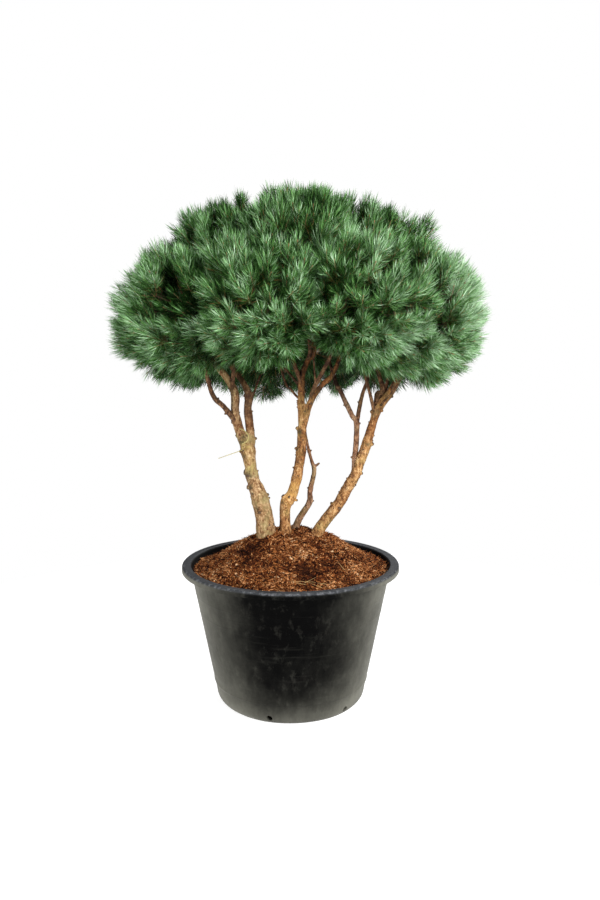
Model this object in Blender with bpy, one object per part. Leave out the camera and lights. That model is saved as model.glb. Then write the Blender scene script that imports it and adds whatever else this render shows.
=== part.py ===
# Potted Watereri Scots pine: an umbrella crown on four stems, in a large nursery pot.
# Metres, +Z up. The origin is the centre of the pot's flat underside, and the side seen in
# the photo faces -Y.
import math
import random

import bmesh
import bpy
from mathutils import Vector

clear = 0.0003                 # gap between pieces that touch

# Pot, turned about Z
potHeight = 0.528
potRimRadius = 0.410           # outside of the rim
potRimDrop = 0.021             # height of the rim's skirt
potRimWidth = 0.034            # from the rim's outside to the opening
potFootRadius = 0.276          # where the straight wall would meet the floor
potNeckRadius = 0.380          # outside of the wall just under the rim
potCorner = 0.045              # rounding between the wall and the underside
potCornerSteps = 4
potRimEdge = 0.004             # bevel on the rim's upper edge
potRimInset = 0.012            # below the rim's top, where the opening meets the wall
potFloorEdge = 0.006           # the floor inside reaches this much past the flat underside
potWall = 0.006
potSides = 48
drainHoles = 6
drainHoleRadius = 0.011
drainHoleHeight = 0.030
drainHoleTurn = 0.25           # the first hole's bearing, as a share of their spacing
drainHoleSides = 10
drainCutDepth = 0.100

# Substrate, filled to just under the rim and heaped round the stems
fillDrop = 0.016               # how far its edge lies below the rim
moundRise = 0.143              # peak of the heap above its edge
moundCentre = (0.004, 0.0)
moundShoulder = 3.0            # more gives a flatter top and steeper sides
moundMargin = 0.004            # level strip between the heap and the pot's wall
moundRings = 8

# Crown: a dome with an open underside
crownCentre = Vector((0.030, 0.0))
crownRadius = 0.698
crownTop = 1.908
crownWidest = 1.450            # height of its widest line
crownRoundness = 1.85          # 2 is an ellipse, less is more pointed
massGap = 0.003                # between neighbouring masses
limbRoom = 0.010               # that foliage keeps from the limbs

# Each ring of foliage masses: how many, first bearing, distance out, height, reach across and up
massRings = [
    dict(name='outer', count=10, bearing=5, out=0.455, height=1.425, across=0.245, up=0.260),
    dict(name='upper', count=5, bearing=54, out=0.262, height=1.625, across=0.245, up=0.260),
    dict(name='top', count=1, bearing=0, out=0.0, height=1.690, across=0.235, up=0.240),
]
underside = 1.200              # height of the crown's underside at the sides
undersideTilt = 0.080          # it is this much higher in front, and as much lower behind
dishRise = 0.110               # it is this much higher in the middle
dishWidth = 0.67               # the dish's share of the crown's radius
innerDrop = 0.200              # how far the inner masses reach below their hearts
reachStart = 0.020             # a mass's reach is stepped off from here, away from its heart
reachStep = 0.005
reachLimit = 0.500

# Foliage in each mass. Its stem goes on from the tip of its bough to its heart.
massStemFoot = 0.004           # length of the stem's straight foot
massStemBend = 0.3             # share of its length before it bends towards the heart
massStemTaper = (1.0, 1.0, 0.85, 0.5)
massStemSides = 6
coreShare = 0.78               # the dense core, as a share of the mass's reach
coreInset = 0.010              # how close it comes to the mass's side of a neighbour
coreDetail = 2
openShare = 0.75               # sprays grow where the mass reaches this share of its ellipsoid
sprayCount = 22
sprayLength = 0.150
sprayWidth = 0.013
sprayWaist = 0.28              # where the spray is widest, as a share of its length
sprayTip = 0.66                # where its core ends and only the tufts go on
tuftStep = 0.09                # each tuft ends this share of the length short of the one before
tuftSpread = 0.042             # how far the tufts of needles stand out from the spray's line
sprayLift = 0.30               # how strongly the sprays turn upwards
sprayTrials = [(size, inset) for size in (1.0, 0.85, 0.7) for inset in (0.004, 0.018, 0.034)]
twigRadius = 0.0045
twigSink = 0.15                # how far a twig's end runs up into its spray
heartPull = 0.5                # how much a twig prefers wood near the heart of its mass
wander = 0.12                  # how far a spray's direction strays from even spacing

# Limbs. Stems start in the heap and end at a fork; boughs start in their parent and end at a mass.
# Each has the few points that its line bends through: x, y, z and its radius there.
limbs = [
    dict(name='left_stem',
         line=[(-0.088, -0.050, 0.620, 0.0370), (-0.095, -0.052, 0.702, 0.0322),
               (-0.114, -0.055, 0.780, 0.0305), (-0.140, -0.055, 0.862, 0.0205),
               (-0.148, -0.052, 0.911, 0.0222), (-0.160, -0.047, 0.976, 0.0270)]),
    dict(name='left_bough_side', parent='left_stem', mass='outer_06',
         line=[(-0.164, -0.047, 0.960, 0.0175), (-0.202, -0.042, 1.089, 0.0155),
               (-0.221, -0.043, 1.209, 0.0140)]),
    dict(name='left_bough_back', parent='left_stem', sibling='left_bough_side', mass='outer_05',
         line=[(-0.154, -0.045, 0.960, 0.0165), (-0.146, -0.038, 1.004, 0.0155),
               (-0.157, -0.020, 1.100, 0.0145), (-0.172, 0.010, 1.200, 0.0115)]),
    dict(name='left_bough_front', parent='left_bough_side', mass='outer_07',
         line=[(-0.195, -0.046, 1.060, 0.0108), (-0.240, -0.066, 1.118, 0.0095),
               (-0.285, -0.105, 1.190, 0.0080)]),
    dict(name='left_bough_high', parent='left_bough_side', mass='upper_03',
         line=[(-0.216, -0.043, 1.180, 0.0085), (-0.205, -0.060, 1.250, 0.0075),
               (-0.212, -0.070, 1.320, 0.0065)]),
    dict(name='middle_stem',
         line=[(-0.019, -0.030, 0.620, 0.0250), (-0.021, -0.030, 0.711, 0.0205),
               (-0.015, -0.030, 0.757, 0.0205), (0.010, -0.030, 0.803, 0.0195),
               (0.036, -0.030, 0.926, 0.0170), (0.043, -0.030, 1.044, 0.0160)]),
    dict(name='middle_bough_high', parent='middle_stem', mass='top_01',
         line=[(0.042, -0.030, 1.030, 0.0130), (0.040, -0.030, 1.129, 0.0122),
               (0.041, -0.028, 1.225, 0.0110), (0.062, -0.020, 1.285, 0.0100),
               (0.086, -0.010, 1.350, 0.0085)]),
    dict(name='middle_bough_right', parent='middle_stem', sibling='middle_bough_high',
         mass='upper_05',
         line=[(0.046, -0.031, 1.036, 0.0125), (0.073, -0.037, 1.134, 0.0110),
               (0.115, -0.050, 1.198, 0.0092), (0.170, -0.070, 1.275, 0.0078)]),
    dict(name='middle_bough_low', parent='middle_bough_right', mass='outer_09',
         line=[(0.072, -0.037, 1.128, 0.0090), (0.083, -0.048, 1.180, 0.0084),
               (0.118, -0.085, 1.250, 0.0075), (0.146, -0.150, 1.312, 0.0065)]),
    dict(name='middle_bough_front', parent='middle_bough_high', mass='outer_08',
         line=[(0.041, -0.029, 1.195, 0.0088), (0.018, -0.050, 1.268, 0.0075),
               (-0.005, -0.100, 1.315, 0.0065)]),
    dict(name='middle_bough_centre', parent='middle_bough_high', mass='upper_04',
         line=[(0.062, -0.020, 1.285, 0.0075), (0.070, -0.055, 1.345, 0.0065)]),
    dict(name='middle_bough_back', parent='middle_bough_high', mass='upper_02',
         line=[(0.040, -0.029, 1.140, 0.0048), (0.004, 0.000, 1.178, 0.0044),
               (-0.030, 0.055, 1.240, 0.0040)]),
    dict(name='slender_stem', mass='outer_04',
         line=[(0.008, 0.030, 0.620, 0.0165), (0.032, 0.030, 0.684, 0.0125),
               (0.071, 0.030, 0.748, 0.0108), (0.075, 0.030, 0.795, 0.0097),
               (0.089, 0.030, 0.872, 0.0086), (0.079, 0.030, 0.909, 0.0066),
               (0.060, 0.036, 0.985, 0.0060), (0.040, 0.080, 1.120, 0.0054),
               (0.030, 0.110, 1.190, 0.0050)]),
    dict(name='right_stem',
         line=[(0.090, 0.000, 0.620, 0.0235), (0.131, 0.000, 0.686, 0.0208),
               (0.184, 0.000, 0.756, 0.0200), (0.234, 0.000, 0.844, 0.0188),
               (0.256, 0.000, 0.892, 0.0182)]),
    dict(name='right_bough_outer', parent='right_stem', mass='outer_10',
         line=[(0.251, 0.000, 0.880, 0.0176), (0.286, 0.000, 0.982, 0.0170),
               (0.310, 0.000, 1.068, 0.0145), (0.321, 0.000, 1.104, 0.0160),
               (0.341, -0.003, 1.131, 0.0150), (0.403, -0.016, 1.239, 0.0120)]),
    dict(name='right_bough_inner', parent='right_stem', sibling='right_bough_outer',
         mass='outer_03',
         line=[(0.238, 0.004, 0.868, 0.0105), (0.242, 0.012, 0.920, 0.0108),
               (0.248, 0.016, 1.048, 0.0098), (0.229, 0.026, 1.084, 0.0093),
               (0.191, 0.045, 1.165, 0.0085), (0.166, 0.070, 1.218, 0.0078)]),
    dict(name='right_bough_back', parent='right_bough_inner', mass='outer_02',
         line=[(0.248, 0.018, 1.050, 0.0082), (0.257, 0.022, 1.105, 0.0078),
               (0.272, 0.031, 1.168, 0.0070), (0.298, 0.055, 1.235, 0.0063)]),
    dict(name='right_bough_high', parent='right_bough_outer', mass='upper_01',
         line=[(0.319, 0.002, 1.100, 0.0112), (0.324, 0.010, 1.160, 0.0105),
               (0.335, 0.030, 1.220, 0.0085)]),
    dict(name='right_bough_side', parent='right_bough_outer', sibling='right_bough_high',
         mass='outer_01',
         line=[(0.326, 0.003, 1.108, 0.0080), (0.350, 0.014, 1.165, 0.0074),
               (0.376, 0.032, 1.240, 0.0068)]),
]
boughTipRadius = 0.004         # what each bough would taper to at the heart of its mass
lineStep = 0.005               # between the points that a limb's line is worked out at
limbRingStep = 0.045           # between the rings of its tube
stemSides = 9
boughSides = 7
cutClear = 0.0004              # that a limb keeps from the one it leaves, and the heap from stems

darkPlastic = dict(name='black_plastic', colour=(0.022, 0.023, 0.024), roughness=0.48)
coirMix = dict(name='coir_mix', colour=(0.190, 0.075, 0.036), roughness=0.95)
barkTan = dict(name='bark', colour=(0.420, 0.240, 0.110), roughness=0.85)
needleGreen = dict(name='needles', colour=(0.055, 0.150, 0.085), roughness=0.60)


def makeMaterial(look, node):
    material = bpy.data.materials.new(look['name'] + '_' + node)
    material.use_nodes = True
    shader = material.node_tree.nodes['Principled BSDF']
    shader.inputs['Base Color'].default_value = (*look['colour'], 1.0)
    shader.inputs['Roughness'].default_value = look['roughness']
    shader.inputs['Metallic'].default_value = 0.0
    return material


def addMesh(name, points, faces, collection=None):
    mesh = bpy.data.meshes.new(name)
    mesh.from_pydata([tuple(p) for p in points], [], faces)
    mesh.update()
    piece = bpy.data.objects.new(name, mesh)
    (collection or bpy.context.scene.collection).objects.link(piece)
    return piece


def turn(name, profile, sides):
    # A profile of (radius, height) turned about Z. It starts and ends on the axis.
    points = [(0.0, 0.0, profile[0][1])]
    for radius, height in profile[1:-1]:
        for k in range(sides):
            angle = 2 * math.pi * k / sides
            points.append((radius * math.cos(angle), radius * math.sin(angle), height))
    points.append((0.0, 0.0, profile[-1][1]))
    faces = []
    for k in range(sides):
        after = (k + 1) % sides
        faces.append((0, 1 + after, 1 + k))
        for ring in range(len(profile) - 3):
            low = 1 + ring * sides
            high = low + sides
            faces.append((low + k, low + after, high + after, high + k))
        last = 1 + (len(profile) - 3) * sides
        faces.append((last + k, last + after, len(points) - 1))
    return addMesh(name, points, faces)


def finish(piece, look):
    piece.data.materials.clear()
    piece.data.materials.append(makeMaterial(look, piece.name))
    return piece


def bake(piece):
    # Puts the evaluated mesh in place of the modifiers.
    depsgraph = bpy.context.evaluated_depsgraph_get()
    mesh = bpy.data.meshes.new_from_object(piece.evaluated_get(depsgraph))
    piece.modifiers.clear()
    piece.data = mesh


def keepLargestShell(piece):
    # Loose scraps and the shells of sealed hollows are dropped.
    shape = bmesh.new()
    shape.from_mesh(piece.data)
    unseen = set(shape.verts)
    shells = []
    while unseen:
        shell = set()
        front = [unseen.pop()]
        while front:
            vert = front.pop()
            shell.add(vert)
            for edge in vert.link_edges:
                other = edge.other_vert(vert)
                if other in unseen:
                    unseen.remove(other)
                    front.append(other)
        shells.append(shell)

    def spread(shell):
        low = [min(v.co[axis] for v in shell) for axis in range(3)]
        high = [max(v.co[axis] for v in shell) for axis in range(3)]
        return math.prod(high[axis] - low[axis] for axis in range(3))

    shells.sort(key=spread)
    for shell in shells[:-1]:
        bmesh.ops.delete(shape, geom=list(shell), context='VERTS')
    bmesh.ops.dissolve_degenerate(shape, dist=1e-6, edges=shape.edges)
    bmesh.ops.triangulate(shape, faces=shape.faces)
    shape.to_mesh(piece.data)
    shape.free()


def cut(piece, cutter, solver='EXACT'):
    modifier = piece.modifiers.new('cut', 'BOOLEAN')
    modifier.operation = 'DIFFERENCE'
    modifier.solver = solver
    modifier.object = cutter
    bake(piece)
    bpy.data.objects.remove(cutter)


# Pot

def wallRadius(height):
    return potFootRadius + (potNeckRadius - potFootRadius) * height / potHeight


def potInside(height):
    return wallRadius(height) - potWall


def cornerStart():
    # The corner is an arc from the flat underside to the sloping wall: where it starts, and its turn.
    turned = math.pi / 2 - math.atan2(potNeckRadius - potFootRadius, potHeight)
    return wallRadius(0) - potCorner * math.tan(turned / 2), turned


def makePot():
    flat, turned = cornerStart()
    corner = []
    for step in range(potCornerSteps + 1):
        angle = -math.pi / 2 + turned * step / potCornerSteps
        corner.append((flat + potCorner * math.cos(angle), potCorner + potCorner * math.sin(angle)))
    skirt = potHeight - potRimDrop
    opening = potRimRadius - potRimWidth
    profile = [(0, 0)] + corner + [
        (wallRadius(potHeight - potWall), potHeight - potWall),
        (potRimRadius - potWall, potHeight - potWall),
        (potRimRadius - potWall, skirt),
        (potRimRadius, skirt),
        (potRimRadius, potHeight - potRimEdge),
        (potRimRadius - potRimEdge, potHeight),
        (opening, potHeight),
        (potInside(potHeight - potRimInset), potHeight - potRimInset),
        (potInside(potCorner), potCorner),
        (flat + potFloorEdge, potWall),
        (0, potWall)]
    pot = turn('pot', profile, potSides)
    for k in range(drainHoles):
        angle = 2 * math.pi * (k + drainHoleTurn) / drainHoles
        cutter = makeDrainCutter(angle)
        cut(pot, cutter)
    return finish(pot, darkPlastic)


def makeDrainCutter(angle):
    bpy.ops.mesh.primitive_cylinder_add(vertices=drainHoleSides, radius=drainHoleRadius,
                                        depth=drainCutDepth)
    cutter = bpy.context.object
    away = Vector((math.cos(angle), math.sin(angle), 0.0))
    cutter.location = away * wallRadius(drainHoleHeight) + Vector((0, 0, drainHoleHeight))
    cutter.rotation_euler = away.to_track_quat('Z', 'Y').to_euler()
    return cutter


# Limbs

def smoothLine(points, step):
    # Catmull-Rom curve through the points, read about every step.
    ends = [points[0] * 2 - points[1]] + points + [points[-1] * 2 - points[-2]]
    line = []
    for k in range(1, len(ends) - 2):
        a, b, c, d = ends[k - 1:k + 3]
        pieces = max(1, round((c - b).length / step))
        for n in range(pieces):
            t = n / pieces
            line.append(0.5 * (2 * b + (c - a) * t + (2 * a - 5 * b + 4 * c - d) * t ** 2
                               + (3 * b - a - 3 * c + d) * t ** 3))
    line.append(points[-1])
    return line


def limbLine(limb):
    # The limb's points and its radius at each, from its foot to where it enters its mass.
    course = [Vector(point) for point in limb['line']]
    mass = masses.get(limb.get('mass'))
    if mass:
        course.append(Vector((*mass['heart'], boughTipRadius)))
    fine = smoothLine(course, lineStep)
    last = len(fine) - 1
    if mass:
        last = 0
        while not inMass(mass, fine[last + 1].to_3d()):
            last += 1
    rings = max(2, round(last * lineStep / limbRingStep))
    line = [fine[round(last * n / rings)] for n in range(rings + 1)]
    return [point.to_3d() for point in line], [point.w for point in line]


def makeTube(name, line, radii, sides, flatFoot=False, collection=None):
    # A closed tapering tube with a ring at each point of its line.
    points = []
    side = Vector((0, 1, 0))
    for k, centre in enumerate(line):
        before = line[max(k - 1, 0)]
        after = line[min(k + 1, len(line) - 1)]
        along = (after - before).normalized()
        across = (side - along * side.dot(along)).normalized()
        other = along.cross(across)
        for n in range(sides):
            angle = 2 * math.pi * n / sides
            point = centre + (across * math.cos(angle) + other * math.sin(angle)) * radii[k]
            if flatFoot and k == 0:
                point -= along * ((point.z - centre.z) / along.z)
            points.append(point)
        side = across
    faces = [tuple(range(sides - 1, -1, -1))]
    for k in range(len(line) - 1):
        for n in range(sides):
            after = (n + 1) % sides
            faces.append((k * sides + n, k * sides + after, (k + 1) * sides + after,
                          (k + 1) * sides + n))
    faces.append(tuple((len(line) - 1) * sides + n for n in range(sides)))
    return addMesh(name, points, faces, collection)


def makeLimb(limb, grow=0.0):
    line, radii = limbLine(limb)
    if grow:
        radii = [radius + grow for radius in radii]
        line[-1] = line[-1] + (line[-1] - line[-2]).normalized() * grow
        line[0] = line[0] + (line[0] - line[1]).normalized() * grow
    isStem = 'parent' not in limb
    sides = stemSides if isStem else boughSides
    return makeTube(limb['name'], line, radii, sides, flatFoot=isStem)


def makeLimbs():
    byName = {limb['name']: limb for limb in limbs}
    for limb in limbs:
        piece = makeLimb(limb)
        for key in ('parent', 'sibling'):
            if key in limb:
                cut(piece, makeLimb(byName[limb[key]], grow=cutClear))
        keepLargestShell(piece)
        finish(piece, barkTan)


def nearLimb(point, room):
    for start, end, radius in limbRuns:
        along = end - start
        share = max(0.0, min(1.0, (point - start).dot(along) / along.length_squared))
        if (point - start - along * share).length < radius + room:
            return True
    return False


# Substrate

def moundHeight(x, y):
    edge = potInside(potHeight) - moundMargin
    away = math.hypot(x - moundCentre[0], y - moundCentre[1]) / edge
    heap = moundRise * max(0.0, 1 - away ** moundShoulder) ** 2
    return potHeight - fillDrop + heap


def makeSubstrate():
    edgeHeight = potHeight - fillDrop
    edge = potInside(edgeHeight) - clear
    gap = clear * 1.5
    flat, _ = cornerStart()
    profile = [(0, potWall + gap), (flat, potWall + gap), (potInside(potCorner) - gap, potCorner)]
    profile += [(edge, edgeHeight)]
    for ring in range(1, moundRings):
        profile.append((edge * (1 - ring / moundRings), edgeHeight))
    profile.append((0, edgeHeight))
    substrate = turn('substrate', profile, potSides)
    for vert in substrate.data.vertices:
        radius = math.hypot(vert.co.x, vert.co.y)
        if vert.co.z > edgeHeight - 1e-5 and radius < edge - 1e-4:
            vert.co.z = moundHeight(vert.co.x, vert.co.y)
    for limb in limbs:
        if 'parent' not in limb:
            cut(substrate, makeLimb(limb, grow=cutClear))
    keepLargestShell(substrate)
    return finish(substrate, coirMix)


# Foliage masses

def placeMasses():
    # Named masses, each with its heart and how far it reaches across, up and down.
    placed = {}
    for ring in massRings:
        for k in range(ring['count']):
            bearing = math.radians(ring['bearing'] + 360 * k / ring['count'])
            heart = Vector((crownCentre.x + ring['out'] * math.cos(bearing),
                            crownCentre.y + ring['out'] * math.sin(bearing), ring['height']))
            down = innerDrop
            if ring['name'] == 'outer':
                heart.z -= 0.5 * undersideTilt * math.sin(bearing)
                down = heart.z - underside + undersideTilt * math.sin(bearing)
            name = '%s_%02d' % (ring['name'], k + 1)
            placed[name] = dict(name=name, heart=heart, across=ring['across'], up=ring['up'],
                                down=down)
    return placed


def inCrown(point):
    # Under the dome, and above the dished underside.
    out = math.hypot(point.x - crownCentre.x, point.y - crownCentre.y) / crownRadius
    rise = max(0.0, point.z - crownWidest) / (crownTop - crownWidest)
    dish = underside - undersideTilt * point.y / crownRadius
    dish += dishRise * max(0.0, 1 - (out / dishWidth) ** 2)
    return out ** crownRoundness + rise ** crownRoundness < 1 and point.z > dish


def inMass(mass, point, alone=False):
    # Inside the mass's own ellipsoid, inside the crown, and on its side of every neighbour.
    away = point - mass['heart']
    height = away.z / (mass['up'] if away.z > 0 else mass['down'])
    if (away.x ** 2 + away.y ** 2) / mass['across'] ** 2 + height ** 2 > 1:
        return False
    if not inCrown(point):
        return False
    if alone:
        return True
    for other in masses.values():
        if other is not mass:
            between = other['heart'] - mass['heart']
            middle = (other['heart'] + mass['heart']) / 2
            if (middle - point).dot(between.normalized()) < massGap / 2:
                return False
    return True


def massReach(mass, direction, alone=False, room=None):
    # How far the mass goes from its heart in one direction.
    reach = reachStart
    while reach < reachLimit:
        point = mass['heart'] + direction * (reach + reachStep)
        if not inMass(mass, point, alone) or (room is not None and nearLimb(point, room)):
            break
        reach += reachStep
    return reach


def makeCore(mass, collection):
    # The core comes close to the neighbouring masses, and stays well inside the open outline.
    ball = bmesh.new()
    bmesh.ops.create_icosphere(ball, subdivisions=coreDetail, radius=1.0)
    points = []
    for vert in ball.verts:
        direction = vert.co.normalized()
        reach = min(massReach(mass, direction, room=limbRoom) - coreInset,
                    massReach(mass, direction, alone=True) * coreShare)
        points.append(mass['heart'] + direction * reach)
    faces = [tuple(vert.index for vert in face.verts) for face in ball.faces]
    ball.free()
    addMesh('core', points, faces, collection)


def makeSpray(base, along, length, roll):
    # A slim four-sided core with a long tuft of needles standing out of each of its upper faces.
    across = along.orthogonal().normalized()
    other = along.cross(across)
    size = length / sprayLength
    ring = []
    outs = []
    for k in range(4):
        angle = roll + math.pi * k / 2
        ring.append(base + along * length * sprayWaist
                    + (across * math.cos(angle) + other * math.sin(angle)) * sprayWidth * size)
        outs.append(across * math.cos(angle + math.pi / 4) + other * math.sin(angle + math.pi / 4))
    tip = base + along * length * sprayTip
    points = [base, *ring, tip]
    faces = []
    for k in range(4):
        after = (k + 1) % 4
        faces.append((0, 1 + after, 1 + k))
        forward = 1.0 - tuftStep * (k % 3)
        points.append(base + along * length * forward + outs[k] * tuftSpread * size)
        faces.append((1 + k, 1 + after, 6 + k))
        faces.append((1 + after, 5, 6 + k))
        faces.append((5, 1 + k, 6 + k))
    return points, faces


def evenDirections(count, rng):
    # Directions spread by the golden angle, each a little off its place.
    directions = []
    golden = math.pi * (3 - math.sqrt(5))
    turnStart = rng.uniform(0, 2 * math.pi)
    for k in range(count):
        height = 1 - 2 * (k + 0.5) / count
        flat = math.sqrt(1 - height * height)
        angle = turnStart + golden * k
        direction = Vector((flat * math.cos(angle), flat * math.sin(angle), height))
        stray = Vector((rng.uniform(-1, 1), rng.uniform(-1, 1), rng.uniform(-1, 1)))
        directions.append((direction + stray * wander).normalized())
    return directions


def woodCost(point, base, mass):
    return (point - base).length + heartPull * (point - mass['heart']).length


def makeMass(mass, number):
    # Twigs grow from the nearest wood to each spray, and the wood starts as the mass's stem.
    rng = random.Random(100 + number)
    collection = bpy.data.collections.new(mass['name'])
    bpy.context.scene.collection.children.link(collection)
    makeCore(mass, collection)
    foot, along, radius = massStems[mass['name']]
    start = foot + along * clear
    middle = start + along * (mass['heart'] - start).length * massStemBend
    stem = [start, start + along * massStemFoot, middle, mass['heart']]
    wood = list(stem)
    sprays = 0
    for direction in evenDirections(sprayCount, rng):
        reach = massReach(mass, direction)
        if reach < massReach(mass, direction, alone=True) * openShare:
            continue
        along = (direction + Vector((0, 0, sprayLift))).normalized()
        roll = rng.uniform(0, math.pi)
        for size, inset in sprayTrials:
            length = sprayLength * size
            tip = mass['heart'] + direction * (reach - inset)
            base = tip - along * length
            points, faces = makeSpray(base, along, length, roll)
            nearest = min(wood, key=lambda p: woodCost(p, base, mass))
            end = base + along * length * twigSink
            tests = points + [(base + p) / 2 for p in points]
            tests += [nearest + (end - nearest) * n / 6 for n in range(2, 7)]
            if all(inMass(mass, p) and not nearLimb(p, limbRoom) for p in tests):
                break
        else:
            continue
        addMesh('spray', points, faces, collection)
        makeTube('twig', [nearest, end], [twigRadius * 1.3, twigRadius], 3, collection=collection)
        wood.append((nearest + base) / 2)
        sprays += 1
    body = makeTube(mass['name'], stem, [radius * share for share in massStemTaper], massStemSides)
    union = body.modifiers.new('join', 'BOOLEAN')
    union.operation = 'UNION'
    union.solver = 'MANIFOLD'
    union.operand_type = 'COLLECTION'
    union.collection = collection
    bake(body)
    for piece in list(collection.objects):
        bpy.data.objects.remove(piece)
    bpy.data.collections.remove(collection)
    keepLargestShell(body)
    print(mass['name'], sprays, 'sprays', len(body.data.polygons), 'faces')
    return finish(body, needleGreen)


def limbRunList():
    # Every limb as short straight runs, for keeping foliage clear of it.
    runs = []
    for limb in limbs:
        line, radii = limbLine(limb)
        for k in range(len(line) - 1):
            runs.append((line[k], line[k + 1], radii[k]))
    return runs


def massStemList():
    # Where each mass's stem starts: at the tip of its bough, going on towards its heart.
    stems = {}
    for limb in limbs:
        if 'mass' in limb:
            line, radii = limbLine(limb)
            along = (line[-1] - line[-2]).normalized()
            stems[limb['mass']] = (line[-1], along, radii[-1])
    return stems


for leftover in list(bpy.data.objects):
    bpy.data.objects.remove(leftover)
masses = placeMasses()
limbRuns = limbRunList()
massStems = massStemList()
makePot()
makeSubstrate()
makeLimbs()
for number, mass in enumerate(masses.values()):
    makeMass(mass, number)
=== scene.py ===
# Umbrella pine in a nursery pot: the looks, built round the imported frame.
# Metres, +Z up. The side seen in the photo faces -Y.
import math
import random

import bmesh
import bpy
import numpy as np
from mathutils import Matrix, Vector, noise


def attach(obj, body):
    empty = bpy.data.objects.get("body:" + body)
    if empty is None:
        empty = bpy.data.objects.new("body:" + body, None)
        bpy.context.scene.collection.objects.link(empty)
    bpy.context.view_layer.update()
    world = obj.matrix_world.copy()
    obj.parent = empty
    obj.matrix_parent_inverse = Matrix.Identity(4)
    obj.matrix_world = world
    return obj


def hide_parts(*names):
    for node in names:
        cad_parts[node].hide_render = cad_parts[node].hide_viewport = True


noise.seed_set(3)  # noise_vector would otherwise start from the clock, and the crown differ each run
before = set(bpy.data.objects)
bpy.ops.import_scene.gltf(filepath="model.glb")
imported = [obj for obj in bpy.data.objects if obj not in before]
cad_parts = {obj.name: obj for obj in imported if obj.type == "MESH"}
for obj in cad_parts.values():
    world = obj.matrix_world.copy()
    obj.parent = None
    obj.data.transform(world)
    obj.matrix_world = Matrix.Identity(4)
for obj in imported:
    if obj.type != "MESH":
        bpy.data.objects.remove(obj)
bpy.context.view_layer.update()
print("frame loaded,", len(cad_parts), "nodes")

cameraView = dict(place=(0.0354, -2.895, 1.319), tilt=-7.18, lens=31.2)


def addObject(name, data):
    thing = bpy.data.objects.new(name, data)
    bpy.context.scene.collection.objects.link(thing)
    return thing


def placeCamera():
    camera = addObject("camera", bpy.data.cameras.new("camera"))
    camera.location = cameraView["place"]
    camera.rotation_euler = (math.radians(90 + cameraView["tilt"]), 0.0, 0.0)
    camera.data.lens = cameraView["lens"]
    camera.data.sensor_width = 36.0
    bpy.context.scene.camera = camera


placeCamera()


# Small tools

def addPiece(name, mesh, material, nodes=(), smooth=False):
    piece = addObject(name, mesh)
    mesh.materials.clear()
    mesh.materials.append(material)
    if smooth:
        mesh.shade_smooth()
    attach(piece, "root")
    if nodes:
        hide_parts(*nodes)


def triangleMesh(name, points, corners):
    # A mesh of triangles straight from arrays of points and corner numbers.
    mesh = bpy.data.meshes.new(name)
    mesh.vertices.add(len(points))
    mesh.vertices.foreach_set("co", np.ascontiguousarray(points, np.float32).ravel())
    mesh.loops.add(corners.size)
    mesh.loops.foreach_set("vertex_index", np.ascontiguousarray(corners, np.int32).ravel())
    mesh.polygons.add(len(corners))
    mesh.polygons.foreach_set("loop_start", np.arange(0, corners.size, 3, dtype=np.int32))
    mesh.update(calc_edges=True)
    return mesh


def repeatCorners(corners, count, pointCount):
    # The faces of one shape again for each of its copies.
    shift = (np.arange(count) * pointCount)[:, None, None]
    return (np.array(corners)[None] + shift).reshape(-1, 3)


def joinCopies(template, corners, frames, places):
    # Copies of one small shape: frames is (n, 3, 3) with its axes as columns, places is (n, 3).
    points = np.einsum("nij,kj->nki", frames, template) + places[:, None, :]
    return points.reshape(-1, 3), repeatCorners(corners, len(places), len(template))


def framesAlong(along, roll):
    # Axes whose third column points along each direction, turned by its roll.
    along = along / np.linalg.norm(along, axis=1, keepdims=True)
    helper = np.where(np.abs(along[:, 2:3]) < 0.9, [[0.0, 0.0, 1.0]], [[1.0, 0.0, 0.0]])
    first = np.cross(helper, along)
    first /= np.linalg.norm(first, axis=1, keepdims=True)
    second = np.cross(along, first)
    cosine = np.cos(roll)[:, None]
    sine = np.sin(roll)[:, None]
    return np.stack([first * cosine + second * sine, second * cosine - first * sine, along], axis=2)


def taperedSticks(starts, ends, startRadii, endRadii, sides):
    # Straight tapering sticks with closed ends, all in one array.
    along = ends - starts
    axes = framesAlong(along, np.zeros(len(along)))
    angles = 2 * np.pi * np.arange(sides) / sides
    ring = axes[:, None, :, 0] * np.cos(angles)[None, :, None]
    ring = ring + axes[:, None, :, 1] * np.sin(angles)[None, :, None]
    low = starts[:, None, :] + ring * startRadii[:, None, None]
    high = ends[:, None, :] + ring * endRadii[:, None, None]
    points = np.concatenate([low, high], axis=1)
    corners = []
    for k in range(sides):
        after = (k + 1) % sides
        corners += [(k, after, sides + after), (k, sides + after, sides + k)]
    for k in range(1, sides - 1):
        corners += [(0, k + 1, k), (sides, sides + k, sides + k + 1)]
    return points.reshape(-1, 3), repeatCorners(corners, len(starts), sides * 2)


def plainMaterial(name, colour, roughness, specular=0.5):
    material = bpy.data.materials.new(name)
    material.use_nodes = True
    inputs = material.node_tree.nodes["Principled BSDF"].inputs
    inputs["Base Color"].default_value = (*colour, 1.0)
    inputs["Roughness"].default_value = roughness
    inputs["Specular IOR Level"].default_value = specular
    return material


def addNode(tree, kind, **values):
    node = tree.nodes.new(kind)
    for key, value in values.items():
        if key in node.inputs:
            node.inputs[key].default_value = value
        else:
            setattr(node, key, value)
    return node


def connect(fromSocket, toSocket):
    fromSocket.id_data.links.new(fromSocket, toSocket)


def feed(socket, value):
    # A socket takes a colour, a number or the output of another node.
    if isinstance(value, tuple):
        socket.default_value = (*value, 1.0)
    elif isinstance(value, (int, float)):
        socket.default_value = value
    else:
        connect(value, socket)


def treeOf(*values):
    return next(value.id_data for value in values if hasattr(value, "id_data"))


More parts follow.
